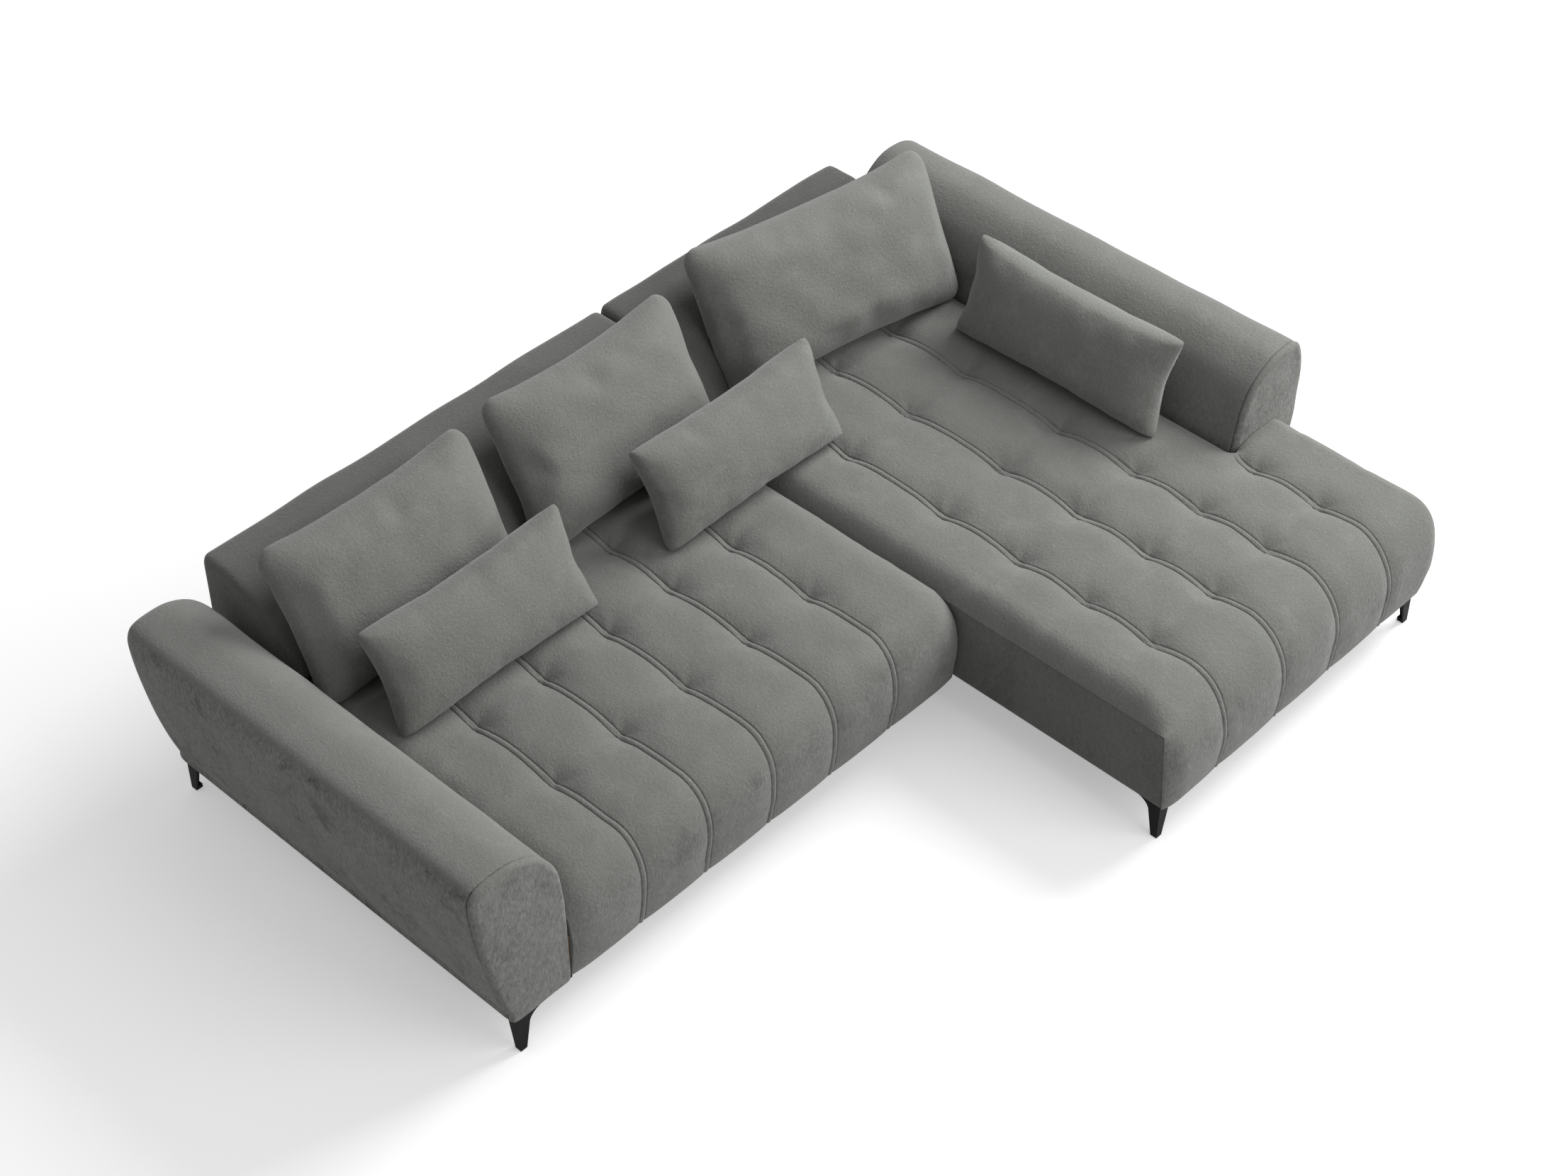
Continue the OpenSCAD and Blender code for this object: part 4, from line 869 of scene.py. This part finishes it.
# Loose pieces: object name, size, form, place, seed, and whether it leans on a backrest
BACK_FORM = (44, 0.008, 0.37, 0.006, 12.0, 0.5)
PILLOW_FORM = (15, 0.06, 0.30, 0.02, 12.0, 2.4)
BACK_SIZE = (660, 446, 108, 88)
WIDE_SIZE = (812, 446, 120, 88)
PILLOW_SIZE = (650, 292, 84, 84)
ARM_PILLOW_SIZE = (694, 292, 84, 84)
LOOSE = {
    "back_cushion_left": ("back_cushion_a", BACK_SIZE, BACK_FORM,
                          (-818.5, 562, 0, LEAN, 17), 51, True),
    "back_cushion_middle": ("back_cushion_b", BACK_SIZE, BACK_FORM,
                            (-81.5, 580, 0, LEAN, 17), 53, True),
    "back_cushion_right": ("back_cushion_c", WIDE_SIZE, BACK_FORM,
                           (755.5, 592, -9.5, LEAN, 17), 55, True),
    "lumbar_pillow_left": ("pillow_a", PILLOW_SIZE, PILLOW_FORM,
                           (-763.5, 340, 0, LEAN, 2), 61, False),
    "lumbar_pillow_middle": ("pillow_b", PILLOW_SIZE, PILLOW_FORM,
                             (144.5, 340, 0, LEAN, 2), 63, False),
    "lumbar_pillow_arm": ("pillow_c", ARM_PILLOW_SIZE, PILLOW_FORM,
                          (1026.5, 66, -90, 19, 2), 65, False),
}
for node, measures in LOOSE.items():
    pieces[node] = cushion(*measures)


# Materials
class Nodes:
    """Small helper that builds the nodes of a material, or of a world."""

    def __init__(self, name, world=False):
        self.owner = bpy.data.worlds.new(name) if world else bpy.data.materials.new(name)
        self.owner.use_nodes = True
        self.tree = self.owner.node_tree
        self.tree.nodes.clear()
        self.out = self.add("ShaderNodeOutputWorld" if world else "ShaderNodeOutputMaterial")

    def add(self, kind, **sets):
        node = self.tree.nodes.new(kind)
        for key, value in sets.items():
            setattr(node, key, value)
        return node

    def link(self, a, b):
        self.tree.links.new(a, b)

    def feed(self, value, socket):
        """Sets a socket to a number or a colour, or links another socket to it."""
        if isinstance(value, (int, float)):
            socket.default_value = value
        elif isinstance(value, tuple):
            socket.default_value = (*value, 1)
        else:
            self.link(value, socket)

    def coords(self, scale):
        tc = self.add("ShaderNodeTexCoord")
        mp = self.add("ShaderNodeMapping")
        mp.inputs["Scale"].default_value = scale
        self.link(tc.outputs["Object"], mp.inputs["Vector"])
        return mp.outputs["Vector"]

    def noise(self, scale, detail=2.0, rough=0.5, stretch=(1, 1, 1), distort=0.0):
        n = self.add("ShaderNodeTexNoise")
        n.inputs["Scale"].default_value = scale
        n.inputs["Detail"].default_value = detail
        n.inputs["Roughness"].default_value = rough
        n.inputs["Distortion"].default_value = distort
        self.link(self.coords(stretch), n.inputs["Vector"])
        return n.outputs["Fac"]

    def ramp(self, fac, stops):
        r = self.add("ShaderNodeValToRGB")
        el = r.color_ramp.elements
        el[0].position, el[0].color = stops[0][0], (*stops[0][1], 1)
        el[1].position, el[1].color = stops[-1][0], (*stops[-1][1], 1)
        for pos, col in stops[1:-1]:
            e = el.new(pos)
            e.color = (*col, 1)
        self.link(fac, r.inputs["Fac"])
        return r.outputs["Color"]

    def math(self, op, a, b=None, clamp=False):
        m = self.add("ShaderNodeMath", operation=op, use_clamp=clamp)
        self.feed(a, m.inputs[0])
        if b is not None:
            self.feed(b, m.inputs[1])
        return m.outputs[0]

    def mix(self, fac, a, b, blend="MIX"):
        m = self.add("ShaderNodeMix", data_type="RGBA", blend_type=blend)
        for value, k in ((fac, 0), (a, 6), (b, 7)):
            self.feed(value, m.inputs[k])
        return m.outputs[2]

    def seen(self):
        """1 for rays from the camera, off a mirror or through glass, else 0."""
        path = self.add("ShaderNodeLightPath")
        rays = [path.outputs[f"Is {kind} Ray"] for kind in ("Camera", "Glossy", "Transmission")]
        return self.math("MAXIMUM", self.math("MAXIMUM", rays[0], rays[1]), rays[2])

    def bump(self, height, strength, distance, normal=None):
        b = self.add("ShaderNodeBump")
        b.inputs["Strength"].default_value = strength
        b.inputs["Distance"].default_value = distance
        self.link(height, b.inputs["Height"])
        if normal is not None:
            self.link(normal, b.inputs["Normal"])
        return b.outputs["Normal"]

    def principled(self, color, rough, normal=None, **inputs):
        p = self.add("ShaderNodeBsdfPrincipled")
        self.feed(color, p.inputs["Base Color"])
        self.feed(rough, p.inputs["Roughness"])
        for key, v in inputs.items():
            p.inputs[key.replace("_", " ")].default_value = v
        if normal is not None:
            self.link(normal, p.inputs["Normal"])
        self.link(p.outputs[0], self.out.inputs["Surface"])
        return self.owner


def grey(v):
    return (v, v, v)


VELVET_DARK = (0.170, 0.174, 0.161)
VELVET_LIGHT = (0.181, 0.185, 0.172)


def velvet(name, shade, marks, start=0.45, rear=1.0):
    """Grey velvet: an even pebbly nap, with brushed patches and streaks on upright faces.
    shade scales its tone and below 1 is painted shade; marks is the patches' strength, start how
    upright a face must be, rear the factor that lifts rear-facing faces back out of the painted
    shade."""
    n = Nodes(name)
    geo = n.add("ShaderNodeNewGeometry")
    sep = n.add("ShaderNodeSeparateXYZ")
    n.link(geo.outputs["Normal"], sep.inputs[0])
    upright = n.math("SUBTRACT", 1.0, n.math("ABSOLUTE", sep.outputs["Z"]))
    upright = n.math("MULTIPLY", n.math("SUBTRACT", upright, start), 2.6, clamp=True)
    cloud = n.noise(7.5, 3, 0.6, distort=0.5)
    grain = n.noise(230, 3, 0.65)
    pebble = n.noise(120, 2, 0.5, distort=0.6)
    streak = n.noise(140, 3, 0.65, (1, 1, 0.4))
    patch = n.noise(7.0, 8, 0.72, (1, 1, 0.8), 0.35)
    # The cloth's colour scaled by shade: painted shade where shade is below 1
    base = n.ramp(cloud, [(0.3, tuple(c * shade for c in VELVET_DARK)),
                          (0.7, tuple(c * shade for c in VELVET_LIGHT))])
    fine = n.ramp(grain, [(0.3, grey(0.86)), (0.6, grey(1.03)), (0.74, grey(1.30))])
    base = n.mix(1.0, base, fine, "MULTIPLY")
    haze = n.ramp(n.noise(10, 4, 0.6, distort=0.3), [(0.56, grey(1.0)), (0.70, grey(1.10))])
    base = n.mix(1.0, base, haze, "MULTIPLY")
    hairs = n.ramp(streak, [(0.33, grey(1 - 0.24 * marks)), (0.67, grey(1 + 0.28 * marks))])
    base = n.mix(upright, base, n.mix(1.0, base, hairs, "MULTIPLY"))
    brushed = n.ramp(patch, [(0.385, grey(1 - 0.34 * marks)), (0.44, grey(1.0)),
                             (0.70, grey(1 + 0.18 * marks))])
    base = n.mix(upright, base, n.mix(1.0, base, brushed, "MULTIPLY"))
    # Rear-facing faces multiplied by rear, which takes the painted shade off them again
    behind = n.math("MULTIPLY", sep.outputs["Y"], 1.4, clamp=True)
    base = n.mix(behind, base, n.mix(1.0, base, grey(rear), "MULTIPLY"))
    nap = n.bump(pebble, 0.46, 0.004)
    nap = n.bump(grain, 0.5, 0.0026, nap)
    return n.principled(base, 0.9, nap, Sheen_Weight=0.30, Sheen_Roughness=0.45,
                        Specular_IOR_Level=0.18)


def wood(name, light, dark, stretch):
    """Wood, its grain drawn out along the axes where stretch is small."""
    n = Nodes(name)
    grain = n.noise(26, 5, 0.6, stretch, 0.6)
    color = n.ramp(grain, [(0.3, dark), (0.7, light)])
    return n.principled(color, 0.7, n.bump(grain, 0.2, 0.001))


def plain(name, low, high, scale, rough, bump, metallic=0.0, **more):
    """Metal, plastic, felt or cloth with a fine grain between two colours."""
    n = Nodes(name)
    tone = n.noise(scale, 3, 0.6)
    color = n.ramp(tone, [(0.3, low), (0.7, high)])
    fine = n.noise(scale * 6, 2, 0.5)
    r = n.ramp(fine, [(0.3, grey(rough - 0.05)), (0.7, grey(rough + 0.06))])
    return n.principled(color, r, n.bump(fine, bump, 0.0006), Metallic=metallic, **more)


MATERIALS = {
    "grey_velvet": velvet("grey_velvet", 0.97, 0.7),
    "timber": wood("timber", (0.62, 0.46, 0.28), (0.46, 0.31, 0.17), (0.12, 1, 1)),
    "plywood": wood("plywood", (0.52, 0.38, 0.23), (0.40, 0.28, 0.16), (0.1, 0.1, 1.5)),
    "leg_black_metal": plain("leg_black_metal", (0.004, 0.004, 0.0045), (0.007, 0.007, 0.0075), 60,
                             0.5, 0.05, 0.0, Specular_IOR_Level=0.07),
    "foot_black_plastic": plain("foot_black_plastic", grey(0.014), grey(0.024), 90, 0.6, 0.2),
    "felt": plain("felt", grey(0.07), grey(0.13), 500, 0.95, 0.6),
    "dust_cloth": plain("dust_cloth", (0.014, 0.014, 0.016), (0.03, 0.03, 0.032), 420, 0.9, 0.4),
    "zinc_steel": plain("zinc_steel", (0.48, 0.49, 0.51), (0.62, 0.63, 0.65), 80, 0.36, 0.08, 1.0),
}

for sub in frame["record"]["subparts"]:
    obj = frame["nodes"][sub["node"]]
    obj.data.materials.clear()
    obj.data.materials.append(MATERIALS[sub["material_slot"]])

# The same cloth as it lies on each kind of piece, more or less brushed; the boxing and the
# backrests are darker copies with painted shade, lifted again on the backrests' rear faces
CLOTHS = {
    "left_arm_pad": velvet("grey_velvet_arm_left", 1.02, 1.25, 0.25),
    "right_arm_pad": velvet("grey_velvet_arm_right", 1.0, 0.5),
    "arm_facing": velvet("grey_velvet_facing", 1.0, 1.0),
    "cushion": velvet("grey_velvet_cushion", 1.03, 0.4),
    # Painted shade: the chaise's boxing, in the inner corner of the L, darkened to 0.75
    "boxing": velvet("grey_velvet_side_painted_shade", 0.75, 0.45),
    # Painted shade: the backrests' top band and slope darkened, the right one more than the left
    "left_backrest": velvet("grey_velvet_back_left_painted_shade", 0.73, 0.5, rear=1.25),
    "right_backrest": velvet("grey_velvet_back_right_painted_shade", 0.53, 0.5, rear=1.6),
    "seat": MATERIALS["grey_velvet"],
}


def cloth_of(node):
    """The cloth of a piece, by a word of its name."""
    if "pillow" in node:
        return CLOTHS["cushion"]
    return next(cloth for key, cloth in CLOTHS.items() if key in node)


for node, obj in pieces.items():
    obj.data.materials.clear()
    obj.data.materials.append(cloth_of(node))
    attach(obj, node if node in LOOSE else "sofa")
    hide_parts(node)


# Floor, world and lamps
def floor_material():
    """White floor, with some light of its own where the picture shows it."""
    n = Nodes("floor")
    color = n.ramp(n.noise(0.8, 2, 0.5), [(0.3, grey(0.78)), (0.7, grey(0.82))])
    seen = n.seen()
    diffuse = n.add("ShaderNodeBsdfDiffuse")
    n.link(n.mix(seen, grey(0.4), color), diffuse.inputs["Color"])
    glow = n.add("ShaderNodeEmission")
    n.feed(grey(1), glow.inputs["Color"])
    n.link(n.math("MULTIPLY", seen, 0.36), glow.inputs["Strength"])
    add = n.add("ShaderNodeAddShader")
    n.link(diffuse.outputs[0], add.inputs[0])
    n.link(glow.outputs[0], add.inputs[1])
    n.link(add.outputs[0], n.out.inputs["Surface"])
    return n.owner


def studio_world():
    """White world, dimmer as a light than where it is seen."""
    n = Nodes("studio", world=True)
    strength = n.add("ShaderNodeMapRange")
    n.feed(n.seen(), strength.inputs["Value"])
    n.feed(0.42, strength.inputs["To Min"])
    n.feed(1.0, strength.inputs["To Max"])
    backdrop = n.add("ShaderNodeBackground")
    n.feed(grey(1), backdrop.inputs["Color"])
    n.link(strength.outputs[0], backdrop.inputs["Strength"])
    n.link(backdrop.outputs[0], n.out.inputs["Surface"])
    return n.owner


FLOOR_HALF = 40.0
FLOOR_DROP = 0.0005
LIT_POINT = Vector((0, 0, 0.3))
floor_mesh = bpy.data.meshes.new("floor")
corners = [(x * FLOOR_HALF, y * FLOOR_HALF, 0) for x, y in ((-1, -1), (1, -1), (1, 1), (-1, 1))]
floor_mesh.from_pydata(corners, [], [(0, 1, 2, 3)])
floor = bpy.data.objects.new("floor", floor_mesh)
scene.collection.objects.link(floor)
floor.data.materials.append(floor_material())
floor.location.z = -FLOOR_DROP
scene.world = studio_world()


def lamp(name, place, size, power):
    """Square lamp that points at the sofa's middle."""
    data = bpy.data.lights.new(name, "AREA")
    data.shape = "SQUARE"
    data.size = size
    data.energy = power
    obj = bpy.data.objects.new(name, data)
    obj.location = place
    obj.rotation_euler = (LIT_POINT - Vector(place)).to_track_quat("-Z", "Y").to_euler()
    scene.collection.objects.link(obj)


lamp("key", (6.0, -1.0, 5.2), 4.0, 620)
lamp("fill", (1.5, -6.0, 4.5), 5.0, 210)
